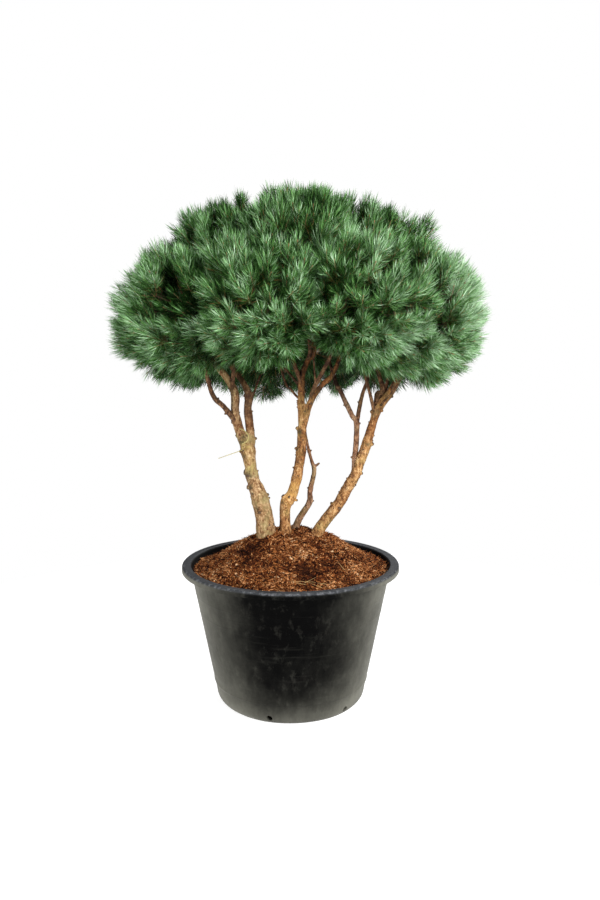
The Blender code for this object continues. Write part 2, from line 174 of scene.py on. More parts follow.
def colourRamp(factor, stops):
    # Each stop is a position with a colour, or with one number for a grey.
    ramp = addNode(factor.id_data, "ShaderNodeValToRGB")
    while len(ramp.color_ramp.elements) < len(stops):
        ramp.color_ramp.elements.new(0.5)
    for element, (position, colour) in zip(ramp.color_ramp.elements, stops):
        element.position = position
        element.color = (*(colour if isinstance(colour, tuple) else (colour,) * 3), 1.0)
    connect(factor, ramp.inputs["Fac"])
    return ramp.outputs["Color"]


def patternNoise(tree, scale, stretch=(1, 1, 1), detail=4.0, rough=0.6):
    place = addNode(tree, "ShaderNodeTexCoord")
    mapping = addNode(tree, "ShaderNodeMapping", Scale=stretch)
    texture = addNode(tree, "ShaderNodeTexNoise", Scale=scale, Detail=detail, Roughness=rough)
    connect(place.outputs["Object"], mapping.inputs["Vector"])
    connect(mapping.outputs["Vector"], texture.inputs["Vector"])
    return texture.outputs["Fac"]


def placeOutputs(tree):
    place = addNode(tree, "ShaderNodeTexCoord")
    split = addNode(tree, "ShaderNodeSeparateXYZ")
    connect(place.outputs["Object"], split.inputs["Vector"])
    return split.outputs


def mixColours(factor, first, second, blend="MIX"):
    mix = addNode(treeOf(factor, first, second), "ShaderNodeMix", data_type="RGBA", blend_type=blend)
    for name, value in zip(("Factor", "A", "B"), (factor, first, second)):
        feed(mix.inputs[name], value)
    return mix.outputs["Result"]


def mathNode(operation, first, second=0.0):
    node = addNode(treeOf(first, second), "ShaderNodeMath", operation=operation)
    for socket, value in zip(node.inputs, (first, second)):
        feed(socket, value)
    return node.outputs["Value"]


def plus(first, second):
    return mathNode("ADD", first, second)


def times(first, second):
    return mathNode("MULTIPLY", first, second)


def intoShader(name, value):
    connect(value, value.id_data.nodes["Principled BSDF"].inputs[name])


def addBump(height, distance, strength=0.6):
    bump = addNode(height.id_data, "ShaderNodeBump", Distance=distance, Strength=strength)
    connect(height, bump.inputs["Height"])
    intoShader("Normal", bump.outputs["Normal"])


# Pot

pot = dict(height=0.528, rim=0.410, rimDrop=0.021, rimWidth=0.034, foot=0.276, neck=0.380,
           corner=0.045, wall=0.006, sides=192, drainHoles=6, holeRadius=0.011, holeHeight=0.030,
           seam=0.086, seamStep=0.0016, faintRings=(0.356, 0.426), faintStep=0.0006)


def wallRadius(height):
    return pot["foot"] + (pot["neck"] - pot["foot"]) * height / pot["height"]


def potInside(height):
    return wallRadius(height) - pot["wall"]


def cornerFlat():
    slope = math.atan2(pot["neck"] - pot["foot"], pot["height"])
    turned = math.pi / 2 - slope
    return wallRadius(0) - pot["corner"] * math.tan(turned / 2), turned


def roundCorner(centre, radii, start, turn, steps, first=0):
    # Points of a turned corner: its centre, its two radii, and the angles that it runs through.
    angles = [start + turn * step / steps for step in range(first, steps + 1)]
    return [(centre[0] + radii[0] * math.cos(angle), centre[1] + radii[1] * math.sin(angle))
            for angle in angles]


def potProfile():
    flat, turned = cornerFlat()
    profile = [(0.0, 0.003), (flat * 0.55, 0.003), (flat - 0.012, 0.0030), (flat - 0.008, 0.0)]
    profile += roundCorner((flat, pot["corner"]), (pot["corner"], pot["corner"]), -math.pi / 2, turned, 10)
    # The wall stands out by a small step above the seam, and has two faint rings.
    heights = [0.060, 0.075, pot["seam"] - 0.003]
    profile += [(wallRadius(z) - 0.0005, z) for z in heights]
    profile += [(wallRadius(pot["seam"] - 0.0012) + pot["seamStep"], pot["seam"] - 0.0012),
                (wallRadius(pot["seam"] + 0.0012) + pot["seamStep"], pot["seam"] + 0.0012),
                (wallRadius(pot["seam"] + 0.004), pot["seam"] + 0.004)]
    for z in np.arange(0.11, 0.49, 0.02):
        profile.append((wallRadius(z), z))
    for ring in pot["faintRings"]:
        for offset, out in ((-0.003, 0.0), (-0.001, 1.0), (0.001, 1.0), (0.003, 0.0)):
            profile.append((wallRadius(ring + offset) + out * pot["faintStep"], ring + offset))
    wallPart = [p for p in profile if p[1] > 0.1]
    profile = [p for p in profile if p[1] <= 0.1] + sorted(wallPart, key=lambda p: p[1])
    top = pot["height"]
    skirt = top - pot["rimDrop"]
    rim = pot["rim"]
    wall = pot["wall"]
    profile += [(wallRadius(top - wall - 0.004), top - wall - 0.004),
                (wallRadius(top - wall) + 0.003, top - wall), (rim - wall - 0.002, top - wall),
                (rim - wall, top - wall - 0.002), (rim - wall, skirt), (rim - wall + 0.001, skirt - 0.0008),
                (rim - 0.0010, skirt - 0.0008), (rim, skirt + 0.0004), (rim - 0.0006, top - 0.0065)]
    profile += roundCorner((rim - 0.0066, top - 0.0065), (0.006, 0.0065), 0.0, math.pi / 2, 5, 1)
    opening = rim - pot["rimWidth"]
    profile += [(opening + 0.012, top - 0.0012), (opening + 0.004, top - 0.0006)]
    profile += roundCorner((opening + 0.004, top - 0.0046), (0.004, 0.004), math.pi / 2, math.pi / 2, 4, 1)
    profile += [(potInside(top - 0.012), top - 0.012), (potInside(top - 0.06), top - 0.06),
                (potInside(pot["corner"]), pot["corner"]), (flat + 0.006, wall), (0.0, wall)]
    return profile


def turnedMesh(name, profile, sides, wobble=0.0):
    shape = bmesh.new()
    rings = []
    for radius, height in profile:
        if radius == 0:
            rings.append([shape.verts.new((0.0, 0.0, height))])
            continue
        ring = []
        for k in range(sides):
            angle = 2 * math.pi * k / sides
            place = Vector((math.cos(angle), math.sin(angle), height * 3))
            away = radius + wobble * noise.noise(place * 1.7)
            ring.append(shape.verts.new((away * math.cos(angle), away * math.sin(angle), height)))
        rings.append(ring)
    for low, high in zip(rings, rings[1:]):
        for k in range(sides):
            after = (k + 1) % sides
            if len(low) == 1:
                shape.faces.new((low[0], high[after], high[k]))
            elif len(high) == 1:
                shape.faces.new((low[k], low[after], high[0]))
            else:
                shape.faces.new((low[k], low[after], high[after], high[k]))
    mesh = bpy.data.meshes.new(name)
    shape.to_mesh(mesh)
    shape.free()
    return mesh


def evaluatedMesh(thing):
    depsgraph = bpy.context.evaluated_depsgraph_get()
    return bpy.data.meshes.new_from_object(thing.evaluated_get(depsgraph))


def cutDrainHoles(mesh):
    thing = addObject("potBlank", mesh)
    for k in range(pot["drainHoles"]):
        angle = 2 * math.pi * (k + 0.25) / pot["drainHoles"]
        away = Vector((math.cos(angle), math.sin(angle), 0.0))
        bpy.ops.mesh.primitive_cylinder_add(vertices=28, radius=pot["holeRadius"], depth=0.10)
        drill = bpy.context.object
        drill.location = away * wallRadius(pot["holeHeight"]) + Vector((0, 0, pot["holeHeight"]))
        drill.rotation_euler = away.to_track_quat("Z", "Y").to_euler()
        cut = thing.modifiers.new("cut", "BOOLEAN")
        cut.operation = "DIFFERENCE"
        cut.object = drill
        thing.data = evaluatedMesh(thing)
        thing.modifiers.clear()
        bpy.data.objects.remove(drill)
    mesh = thing.data
    bpy.data.objects.remove(thing)
    return mesh


def blackPlastic():
    material = plainMaterial("dustyBlackPlasticPaintedSheen", (0.02, 0.02, 0.02), 0.42, 0.02)
    tree = material.node_tree
    place = placeOutputs(tree)
    # Olive dust lies on the foot and in clouds, smudges and streaks; both sides are painted paler in the dust
    # colour as a painted sheen, and the front between them is left nearly black.
    # Painted sheen: paler towards both sides, with the square of the distance from the middle.
    side = times(mathNode("POWER", mathNode("SUBTRACT", place["X"], 0.003), 2.0), 8.7)
    low = mathNode("POWER", 2.718, times(place["Z"], -11.0))
    cloud = times(patternNoise(tree, 6.5, detail=8.0, rough=0.66), 0.60)
    wipes = patternNoise(tree, 24.0, stretch=(1, 1, 0.4), detail=6.0, rough=0.7)
    cloud = plus(cloud, times(wipes, 0.34))
    dustAndSheen = plus(plus(side, times(low, 0.9)), mathNode("SUBTRACT", cloud, 0.48))
    dustAndSheen = mathNode("POWER", mathNode("MAXIMUM", dustAndSheen, 0.0), 2.0)
    smudges = patternNoise(tree, 38.0, stretch=(1, 1, 0.6), detail=8.0, rough=0.7)
    dustAndSheen = plus(dustAndSheen, colourRamp(smudges, [(0.54, 0), (0.80, 0.13)]))
    streaks = patternNoise(tree, 5.0, stretch=(1, 1, 14), detail=5.0, rough=0.6)
    dustAndSheen = plus(dustAndSheen, colourRamp(streaks, [(0.58, 0), (0.76, 0.05)]))
    dustAndSheenColour = colourRamp(dustAndSheen, [(0.0, 0.0008), (1.0, (0.115, 0.113, 0.094))])
    # The rim is greyer, paler along its outer edge where scuffs and a painted highlight lie together, and the
    # wall inside it is clean and dark.
    scuff = patternNoise(tree, 55.0, detail=8.0, rough=0.75)
    radius = mathNode("SQRT", plus(mathNode("POWER", place["X"], 2.0), mathNode("POWER", place["Y"], 2.0)))
    isTop = colourRamp(place["Z"], [(0.519, 0), (0.5255, 1)])
    outer = colourRamp(radius, [(0.396, 0.25), (0.406, 1)])
    scuffed = colourRamp(scuff, [(0.48, 0), (0.66, 1)])
    scuffsAndHighlight = mixColours(mixColours(1.0, outer, scuffed, "MULTIPLY"), (0.030, 0.032, 0.036),
                      (0.150, 0.155, 0.165))
    colour = mixColours(isTop, dustAndSheenColour, scuffsAndHighlight)
    inner = colourRamp(radius, [(0.3755, 1), (0.3790, 0)])
    above = colourRamp(place["Z"], [(0.5060, 0), (0.5070, 1)])
    inside = mixColours(1.0, inner, above, "MULTIPLY")
    intoShader("Base Color", mixColours(inside, colour, (0.006, 0.006, 0.006)))
    intoShader("Roughness", colourRamp(scuff, [(0.3, 0.34), (0.75, 0.56)]))
    addBump(patternNoise(tree, 260.0, detail=3.0), 0.0006, 0.25)
    return material


def makePot():
    mesh = turnedMesh("pot", potProfile(), pot["sides"], wobble=0.0010)
    mesh = cutDrainHoles(mesh)
    mesh.shade_smooth()
    mesh.set_sharp_from_angle(angle=math.radians(50))
    addPiece("nurseryPot", mesh, blackPlastic(), ["pot"])


makePot()
print("pot made")


# Substrate

soil = dict(fillDrop=0.016, rise=0.139, centre=(0.004, 0.0), shoulder=2.45, rings=110, sides=300, lump=0.009,
            crumb=0.0055, shards=15000, chips=4200, fibres=9500, lumps=[(-0.085, -0.065, 0.075, 0.013)],
            darkSpots=[np.array((-0.135, -0.115, 0.050)), np.array((0.075, -0.245, 0.040))])
straws = [(0.046, -0.292, 12, 0.080), (0.085, -0.305, 150, 0.060), (0.070, -0.280, 40, 0.050),
          (0.105, -0.290, 172, 0.045), (0.030, -0.306, 165, 0.050), (0.180, -0.180, 125, 0.050)]
soilTones = [("darkCoir", (0.014, 0.003, 0.001)), ("redCoir", (0.100, 0.025, 0.006)),
             ("brownCoir", (0.225, 0.078, 0.022)), ("tanCoir", (0.420, 0.196, 0.078)),
             ("paleCoir", (0.570, 0.370, 0.205))]
soilLimits = [-0.90, -0.15, 0.85, 1.85]  # of a level that wanders over the heap


def soilHeight(x, y):
    edge = potInside(pot["height"]) - 0.004
    away = math.hypot(x - soil["centre"][0], y - soil["centre"][1]) / edge
    heap = soil["rise"] * max(0.0, 1 - away ** soil["shoulder"]) ** 2
    height = pot["height"] - soil["fillDrop"] + heap
    for centreX, centreY, width, amount in soil["lumps"]:
        height += amount * math.exp(-((x - centreX) ** 2 + (y - centreY) ** 2) / width ** 2)
    rough = noise.noise(Vector((x * 14, y * 14, 0.3))) * soil["lump"]
    rough += noise.noise(Vector((x * 70, y * 70, 2.3))) * soil["crumb"]
    rough += noise.noise(Vector((x * 190, y * 190, 5.3))) * soil["crumb"] * 0.6
    return height + rough - 0.007


def coirMaterial(name, colour):
    material = plainMaterial(name, colour, 0.92, 0.1)
    speck = patternNoise(material.node_tree, 320.0, detail=3.0)
    dark = tuple(value * 0.45 for value in colour)
    intoShader("Base Color", colourRamp(speck, [(0.36, dark), (0.62, colour)]))
    return material


def makeSoilBed():
    edge = potInside(pot["height"] - soil["fillDrop"]) - 0.0008
    flat, turned = cornerFlat()
    profile = [(0.0, pot["wall"] + 0.0006), (flat, pot["wall"] + 0.0006),
               (potInside(pot["corner"]) - 0.0008, pot["corner"]),
               (potInside(0.30) - 0.0008, 0.30),
               (edge, pot["height"] - soil["fillDrop"] - 0.006)]
    for ring in range(1, soil["rings"]):
        profile.append((edge * (1 - ring / soil["rings"]), 1.0))
    profile.append((0.0, 1.0))
    mesh = turnedMesh("bed", profile, soil["sides"])
    for vert in mesh.vertices:
        if vert.co.z > 0.9:
            vert.co.z = soilHeight(vert.co.x, vert.co.y)
    material = coirMaterial("packedCoir", (0.050, 0.014, 0.004))
    addPiece("substrateBed", mesh, material, ["substrate"], smooth=True)


def onSoil(count, rng):
    # Random places on the heap, none of them over the rim.
    edge = potInside(pot["height"]) - 0.010
    radius = edge * np.sqrt(rng.random(count))
    angle = rng.random(count) * 2 * np.pi
    places = np.stack([radius * np.cos(angle), radius * np.sin(angle), np.zeros(count)], axis=1)
    places[:, 2] = [soilHeight(x, y) for x, y, _ in places]
    return places


def restingFrames(count, rng, steep):
    # Pieces lie down on the heap, each tipped a little.
    angle = rng.random(count) * 2 * np.pi
    tip = rng.normal(0, steep, count)
    along = np.stack([np.cos(angle) * np.cos(tip), np.sin(angle) * np.cos(tip), np.sin(tip)], axis=1)
    return framesAlong(along, rng.random(count) * 2 * np.pi)


def makeCrumbs():
    rng = np.random.default_rng(41)
    shard = np.array([(0.5, 0.0, -0.5), (-0.4, 0.45, -0.4), (-0.35, -0.5, -0.3), (0.1, 0.05, 0.6)])
    shardFaces = np.array([(0, 2, 1), (0, 1, 3), (1, 2, 3), (2, 0, 3)])
    chip = np.array([(x, y, z) for z in (-0.5, 0.5) for x, y in
                     ((-0.5, -0.4), (0.45, -0.5), (0.5, 0.42), (-0.42, 0.5))])
    chipFaces = np.array([(0, 2, 1), (0, 3, 2), (4, 5, 6), (4, 6, 7), (0, 1, 5), (0, 5, 4), (1, 2, 6),
                          (1, 6, 5), (2, 3, 7), (2, 7, 6), (3, 0, 4), (3, 4, 7)])
    fibre = np.array([(x, y, z) for z, lift in ((-0.5, 0.0), (0.0, 0.12), (0.5, 0.0))
                      for x, y in ((0.5 + lift * 8, 0), (-0.3 + lift * 8, 0.45), (-0.3 + lift * 8, -0.45))])
    fibreFaces = []
    for low in (0, 3):
        for k in range(3):
            after = (k + 1) % 3
            fibreFaces += [(low + k, low + after, low + 3 + after), (low + k, low + 3 + after, low + 3 + k)]
    fibreFaces = np.array(fibreFaces + [(0, 2, 1), (6, 7, 8)])
    kinds = [(shard, shardFaces, soil["shards"], (0.002, 0.002, 0.003), (0.008, 0.008, 0.013), 0.7),
             (chip, chipFaces, soil["chips"], (0.001, 0.003, 0.006), (0.0028, 0.007, 0.019), 0.25),
             (fibre, fibreFaces, soil["fibres"], (0.0006, 0.0006, 0.014), (0.0012, 0.0012, 0.036), 0.28)]
    made = {name: [] for name, _ in soilTones}
    for template, corners, count, low, high, steep in kinds:
        places = onSoil(count, rng)
        patches = np.array([noise.noise(Vector(place) * 11) + noise.noise(Vector(place) * 45)
                            for place in places])
        levels = rng.normal(0, 0.80, count) + 1.25 * patches
        for spot in soil["darkSpots"]:
            levels -= 1.5 * np.exp(-(np.linalg.norm(places[:, :2] - spot[:2], axis=1) / spot[2]) ** 2)
        tones = np.digitize(levels, soilLimits)
        places[:, 2] += rng.uniform(-0.001, 0.004, count)
        frames = restingFrames(count, rng, steep)
        sizes = rng.uniform(low, high, (count, 3))
        frames = frames * sizes[:, None, :]
        for tone, (name, _) in enumerate(soilTones):
            chosen = tones == tone
            made[name].append(joinCopies(template, corners, frames[chosen], places[chosen]))
    for name, colour in soilTones:
        points, corners = stackMeshes(made[name])
        material = plainMaterial(name, colour, 0.9, 0.1)
        addPiece(name, triangleMesh(name, points, corners), material)


def stackMeshes(parts):
    points = []
    corners = []
    start = 0
    for partPoints, partCorners in parts:
        points.append(partPoints)
        corners.append(partCorners + start)
        start += len(partPoints)
    return np.concatenate(points), np.concatenate(corners)


def makeStraws():
    # A few dry stalks lie on the heap: place, bearing in degrees and length.
    starts = []
    ends = []
    for x, y, bearing, length in straws:
        reach = Vector((math.cos(math.radians(bearing)), math.sin(math.radians(bearing)))) * length / 2
        starts.append((x - reach.x, y - reach.y, soilHeight(x - reach.x, y - reach.y) + 0.007))
        ends.append((x + reach.x, y + reach.y, soilHeight(x + reach.x, y + reach.y) + 0.004))
    radii = np.full(len(starts), 0.0009)
    points, corners = taperedSticks(np.array(starts), np.array(ends), radii, radii * 0.6, 5)
    straw = plainMaterial("strawYellow", (0.330, 0.210, 0.080), 0.8)
    addPiece("straws", triangleMesh("straws", points, corners), straw)


makeSoilBed()
makeCrumbs()
makeStraws()
print("substrate made")


# Crown: where each foliage mass lies, by the same rule and sizes as the solids

crown = dict(centre=(0.030, 0.0), radius=0.698, top=1.908, widest=1.450, roundness=1.85,
             underside=1.200, undersideTilt=0.080, dishRise=0.110, innerDrop=0.200, massGap=0.003,
             dishWidth=0.67, limbRoom=0.010)
massRings = [dict(name="outer", count=10, bearing=5, out=0.455, height=1.425, across=0.245, up=0.260),
             dict(name="upper", count=5, bearing=54, out=0.262, height=1.625, across=0.245, up=0.260),
             dict(name="top", count=1, bearing=0, out=0.0, height=1.690, across=0.235, up=0.240)]


def placeMasses():
    placed = {}
    for ring in massRings:
        for k in range(ring["count"]):
            bearing = math.radians(ring["bearing"] + 360 * k / ring["count"])
            heart = Vector((crown["centre"][0] + ring["out"] * math.cos(bearing),
                            crown["centre"][1] + ring["out"] * math.sin(bearing), ring["height"]))
            down = crown["innerDrop"]
            if ring["name"] == "outer":
                heart.z -= 0.5 * crown["undersideTilt"] * math.sin(bearing)
                down = heart.z - crown["underside"] + crown["undersideTilt"] * math.sin(bearing)
            name = "%s_%02d" % (ring["name"], k + 1)
            placed[name] = dict(name=name, heart=heart, across=ring["across"], up=ring["up"], down=down)
    return placed


def inCrown(points):
    out = np.hypot(points[:, 0] - crown["centre"][0], points[:, 1] - crown["centre"][1]) / crown["radius"]
    rise = np.maximum(0.0, points[:, 2] - crown["widest"]) / (crown["top"] - crown["widest"])
    dish = crown["underside"] - crown["undersideTilt"] * points[:, 1] / crown["radius"]
    dish = dish + crown["dishRise"] * np.maximum(0.0, 1 - (out / crown["dishWidth"]) ** 2)
    power = crown["roundness"]
    return (out ** power + rise ** power < 1) & (points[:, 2] > dish)


def inMass(mass, points, alone=False):
    # Which of the points lie in the mass: its own ellipsoid, the crown, and its side of each neighbour.
    heart = np.array(mass["heart"])
    away = points - heart
    height = away[:, 2] / np.where(away[:, 2] > 0, mass["up"], mass["down"])
    inside = (away[:, 0] ** 2 + away[:, 1] ** 2) / mass["across"] ** 2 + height ** 2 <= 1
    inside &= inCrown(points)
    if alone:
        return inside
    for other in masses.values():
        if other is not mass:
            otherHeart = np.array(other["heart"])
            between = otherHeart - heart
            between = between / np.linalg.norm(between)
            middle = (otherHeart + heart) / 2
            inside &= (middle - points) @ between >= crown["massGap"] / 2
    return inside


def massReach(mass, directions, alone=False):
    # How far the mass goes from its heart in each direction, to 5 mm.
    reach = np.full(len(directions), 0.02)
    going = np.ones(len(directions), bool)
    while going.any():
        points = np.array(mass["heart"]) + directions * (reach + 0.005)[:, None]
        going &= inMass(mass, points, alone)
        reach = reach + np.where(going, 0.005, 0.0)
    return reach


masses = placeMasses()
massNames = sorted(masses)

# Limbs: the same lines and radii as the solids, in millimetres, and the mass that each bough runs into.
limbTable = [
    ("left_stem", None, [(-88, -50, 620, 37), (-95, -52, 702, 32.2), (-114, -55, 780, 30.5),
        (-140, -55, 862, 20.5), (-148, -52, 911, 22.2), (-160, -47, 976, 27)]),
    ("left_bough_side", "outer_06", [(-164, -47, 960, 17.5), (-202, -42, 1089, 15.5),
        (-221, -43, 1209, 14)]),
    ("left_bough_back", "outer_05", [(-154, -45, 960, 16.5), (-146, -38, 1004, 15.5),
        (-157, -20, 1100, 14.5), (-172, 10, 1200, 11.5)]),
    ("left_bough_front", "outer_07", [(-195, -46, 1060, 10.8), (-240, -66, 1118, 9.5),
        (-285, -105, 1190, 8)]),
    ("left_bough_high", "upper_03", [(-216, -43, 1180, 8.5), (-205, -60, 1250, 7.5),
        (-212, -70, 1320, 6.5)]),
    ("middle_stem", None, [(-19, -30, 620, 25), (-21, -30, 711, 20.5), (-15, -30, 757, 20.5),
        (10, -30, 803, 19.5), (36, -30, 926, 17), (43, -30, 1044, 16)]),
    ("middle_bough_high", "top_01", [(42, -30, 1030, 13), (40, -30, 1129, 12.2), (41, -28, 1225, 11),
        (62, -20, 1285, 10), (86, -10, 1350, 8.5)]),
    ("middle_bough_right", "upper_05", [(46, -31, 1036, 12.5), (73, -37, 1134, 11),
        (115, -50, 1198, 9.2), (170, -70, 1275, 7.8)]),
    ("middle_bough_low", "outer_09", [(72, -37, 1128, 9), (83, -48, 1180, 8.4), (118, -85, 1250, 7.5),
        (146, -150, 1312, 6.5)]),
    ("middle_bough_front", "outer_08", [(41, -29, 1195, 8.8), (18, -50, 1268, 7.5),
        (-5, -100, 1315, 6.5)]),
    ("middle_bough_centre", "upper_04", [(62, -20, 1285, 7.5), (70, -55, 1345, 6.5)]),
    ("middle_bough_back", "upper_02", [(40, -29, 1140, 4.8), (4, 0, 1178, 4.4), (-30, 55, 1240, 4)]),
    ("slender_stem", "outer_04", [(8, 30, 620, 16.5), (32, 30, 684, 12.5), (71, 30, 748, 10.8),
        (75, 30, 795, 9.7), (89, 30, 872, 8.6), (79, 30, 909, 6.6), (60, 36, 985, 6),
        (40, 80, 1120, 5.4), (30, 110, 1190, 5)]),
    ("right_stem", None, [(90, 0, 620, 23.5), (131, 0, 686, 20.8), (184, 0, 756, 20),
        (234, 0, 844, 18.8), (256, 0, 892, 18.2)]),
    ("right_bough_outer", "outer_10", [(251, 0, 880, 17.6), (286, 0, 982, 17), (310, 0, 1068, 14.5),
        (321, 0, 1104, 16), (341, -3, 1131, 15), (403, -16, 1239, 12)]),
    ("right_bough_inner", "outer_03", [(238, 4, 868, 10.5), (242, 12, 920, 10.8), (248, 16, 1048, 9.8),
        (229, 26, 1084, 9.3), (191, 45, 1165, 8.5), (166, 70, 1218, 7.8)]),
    ("right_bough_back", "outer_02", [(248, 18, 1050, 8.2), (257, 22, 1105, 7.8), (272, 31, 1168, 7),
        (298, 55, 1235, 6.3)]),
    ("right_bough_high", "upper_01", [(319, 2, 1100, 11.2), (324, 10, 1160, 10.5),
        (335, 30, 1220, 8.5)]),
    ("right_bough_side", "outer_01", [(326, 3, 1108, 8), (350, 14, 1165, 7.4), (376, 32, 1240, 6.8)]),
]
limbs = [dict(name=name, mass=mass, line=[tuple(value / 1000 for value in point) for point in line])
         for name, mass, line in limbTable]


def smoothLine(points, step):
    ends = [points[0] * 2 - points[1]] + points + [points[-1] * 2 - points[-2]]
    line = []
    for k in range(1, len(ends) - 2):
        a, b, c, d = ends[k - 1:k + 3]
        pieces = max(1, round((c - b).length / step))
        for n in range(pieces):
            t = n / pieces
            line.append(0.5 * (2 * b + (c - a) * t + (2 * a - 5 * b + 4 * c - d) * t ** 2
                               + (3 * b - a - 3 * c + d) * t ** 3))
    line.append(points[-1])
    return line


def limbRings(limb):
    # The limb's points at about 6 mm and its radius at each. In its mass it thins to a twig.
    course = [Vector(point) for point in limb["line"]]
    if limb["mass"]:
        course.append(Vector((*masses[limb["mass"]]["heart"], bark["heartRadius"])))
    line = smoothLine(course, bark["step"])
    points = [point.to_3d() for point in line]
    radii = []
    for point in line:
        swell = 0.0
        for name, height, _, size, _ in knots:
            if name == limb["name"]:
                swell += bark["collar"] * size * math.exp(-((point.z - height) / bark["collarLength"]) ** 2)
        radii.append(point.w * (1 + swell))
    return points, radii


bark = dict(step=0.006, sides=16, heartRadius=0.0034, wander=0.0020, collar=0.13, collarLength=0.013,
            stemVoxel=0.0019, boughVoxel=0.0021, plate=0.0009, crease=0.0007)
knotTable = [  # height in mm, bearing in degrees, size against the limb's radius, and length in mm
    ("left_stem", [(873, 195, 0.85, 3), (862, 235, 0.6, 2), (822, 190, 0.55, 4), (728, 250, 0.3, 2),
        (763, 0, 0.22, 3), (950, 180, 0.4, 2), (790, 80, 0.45, 4)]),
    ("left_bough_side", [(1062, 185, 0.45, 3), (1150, 60, 0.5, 4)]),
    ("left_bough_back", [(993, 345, 0.5, 5), (1158, 0, 0.6, 3), (1152, 200, 0.55, 3)]),
    ("left_bough_front", [(1100, 200, 0.6, 3), (1140, 30, 0.55, 3)]),
    ("middle_stem", [(764, 190, 0.62, 4), (776, 350, 0.35, 5), (882, 185, 0.35, 3), (956, 180, 0.5, 4),
        (957, 330, 0.4, 3), (846, 60, 0.45, 4), (1030, 182, 0.62, 5)]),
    ("middle_bough_right", [(1128, 290, 0.75, 3)]),
    ("middle_bough_high", [(1165, 10, 0.5, 3), (1205, 190, 0.55, 4)]),
    ("middle_bough_right", [(1178, 150, 0.6, 3)]),
    ("middle_bough_low", [(1215, 0, 0.6, 3)]),
    ("slender_stem", [(886, 5, 0.75, 16), (799, 185, 0.5, 3), (752, 350, 0.5, 3), (945, 350, 0.55, 4)]),
    ("right_stem", [(737, 300, 0.55, 4), (731, 160, 0.4, 3), (794, 150, 0.4, 3), (828, 320, 0.5, 3),
        (868, 350, 0.5, 4), (770, 60, 0.45, 4)]),
    ("right_bough_outer", [(976, 350, 0.58, 6), (1089, 185, 0.75, 3), (1106, 350, 0.55, 4),
        (1158, 340, 0.55, 4), (1035, 80, 0.45, 4)]),
    ("right_bough_inner", [(916, 185, 0.6, 4), (1052, 350, 0.7, 3), (1122, 190, 0.6, 3)]),
    ("right_bough_back", [(1128, 185, 0.6, 3)]),
    ("right_bough_high", [(1170, 200, 0.55, 3)]),
]
knots = [(name, height / 1000, bearing, size, length / 1000)
         for name, marks in knotTable for height, bearing, size, length in marks]
sideTwigs = [  # thin bare twigs below the crown: start, end, radius
    ((0.311, -0.005, 1.100), (0.266, -0.052, 1.255), 0.0062),
    ((0.330, -0.012, 1.118), (0.404, -0.075, 1.225), 0.0034),
    ((-0.157, -0.018, 1.105), (-0.112, 0.040, 1.235), 0.0042),
    ((0.094, -0.043, 1.168), (0.082, -0.110, 1.320), 0.0034),
]
leftLimbs = ["left_stem", "left_bough_side", "left_bough_back"]
ochreLimbs = ["middle_stem", "middle_bough_high", "middle_bough_right", "right_stem", "right_bough_outer"]


def addSmallKnots():
    # Bud scars scattered all round the stems, too small to be listed one by one.
    rng = random.Random(12)
    for limb in limbs:
        if limb["name"] in leftLimbs + ochreLimbs:
            low = limb["line"][0][2] + 0.035
            high = limb["line"][-1][2] - 0.015
            for k in range(round((high - low) / 0.024)):
                knots.append((limb["name"], rng.uniform(low, high), rng.uniform(0, 360),
                              rng.uniform(0.18, 0.34), rng.uniform(0.001, 0.003)))


addSmallKnots()
limbLines = {limb["name"]: limbRings(limb) for limb in limbs}


def addTube(shape, line, radii, sides):
    rings = []
    side = Vector((0, 1, 0))
    for k, centre in enumerate(line):
        along = (line[min(k + 1, len(line) - 1)] - line[max(k - 1, 0)]).normalized()
        across = (side - along * side.dot(along)).normalized()
        other = along.cross(across)
        ring = []
        for n in range(sides):
            angle = 2 * math.pi * n / sides
            out = across * math.cos(angle) + other * math.sin(angle)
            swell = 1 + 0.13 * noise.noise(centre * 16 + out * 0.9)
            ring.append(shape.verts.new(centre + out * radii[k] * swell))
        rings.append(ring)
        side = across
    shape.faces.new(reversed(rings[0]))
    for low, high in zip(rings, rings[1:]):
        for n in range(sides):
            after = (n + 1) % sides
            shape.faces.new((low[n], low[after], high[after], high[n]))
    shape.faces.new(rings[-1])


scars = []


def addKnot(shape, name, height, bearing, size, length):
    # A pruning scar or a short stub that stands out of its limb on one side.
    line, radii = limbLines[name]
    k = min(range(len(line)), key=lambda n: abs(line[n].z - height))
    along = (line[min(k + 1, len(line) - 1)] - line[max(k - 1, 0)]).normalized()
    out = Vector((math.cos(math.radians(bearing)), math.sin(math.radians(bearing)), 0.0))
    out = (out - along * out.dot(along)).normalized()
    radius = radii[k]
    knot = max(0.0035, radius * size * 0.62)
    heading = (out + along * 0.35).normalized()
    start = line[k] + out * radius * 0.2
    tip = line[k] + heading * (radius * 1.05 + length)
    addTube(shape, [start, (start + tip) / 2, tip], [knot * 1.6, knot * 1.2, knot * 0.85], 10)
    scars.append((tip - heading * 0.0015, tip + heading * 0.0014, knot * 0.92, knot * 0.55))


def fusedMesh(shape, voxel):
    mesh = bpy.data.meshes.new("limbs")
    shape.to_mesh(mesh)
    shape.free()
    thing = addObject("limbBlank", mesh)
    remesh = thing.modifiers.new("fuse", "REMESH")
    remesh.mode = "VOXEL"
    remesh.voxel_size = voxel
    mesh = evaluatedMesh(thing)
    bpy.data.objects.remove(thing)
    return mesh


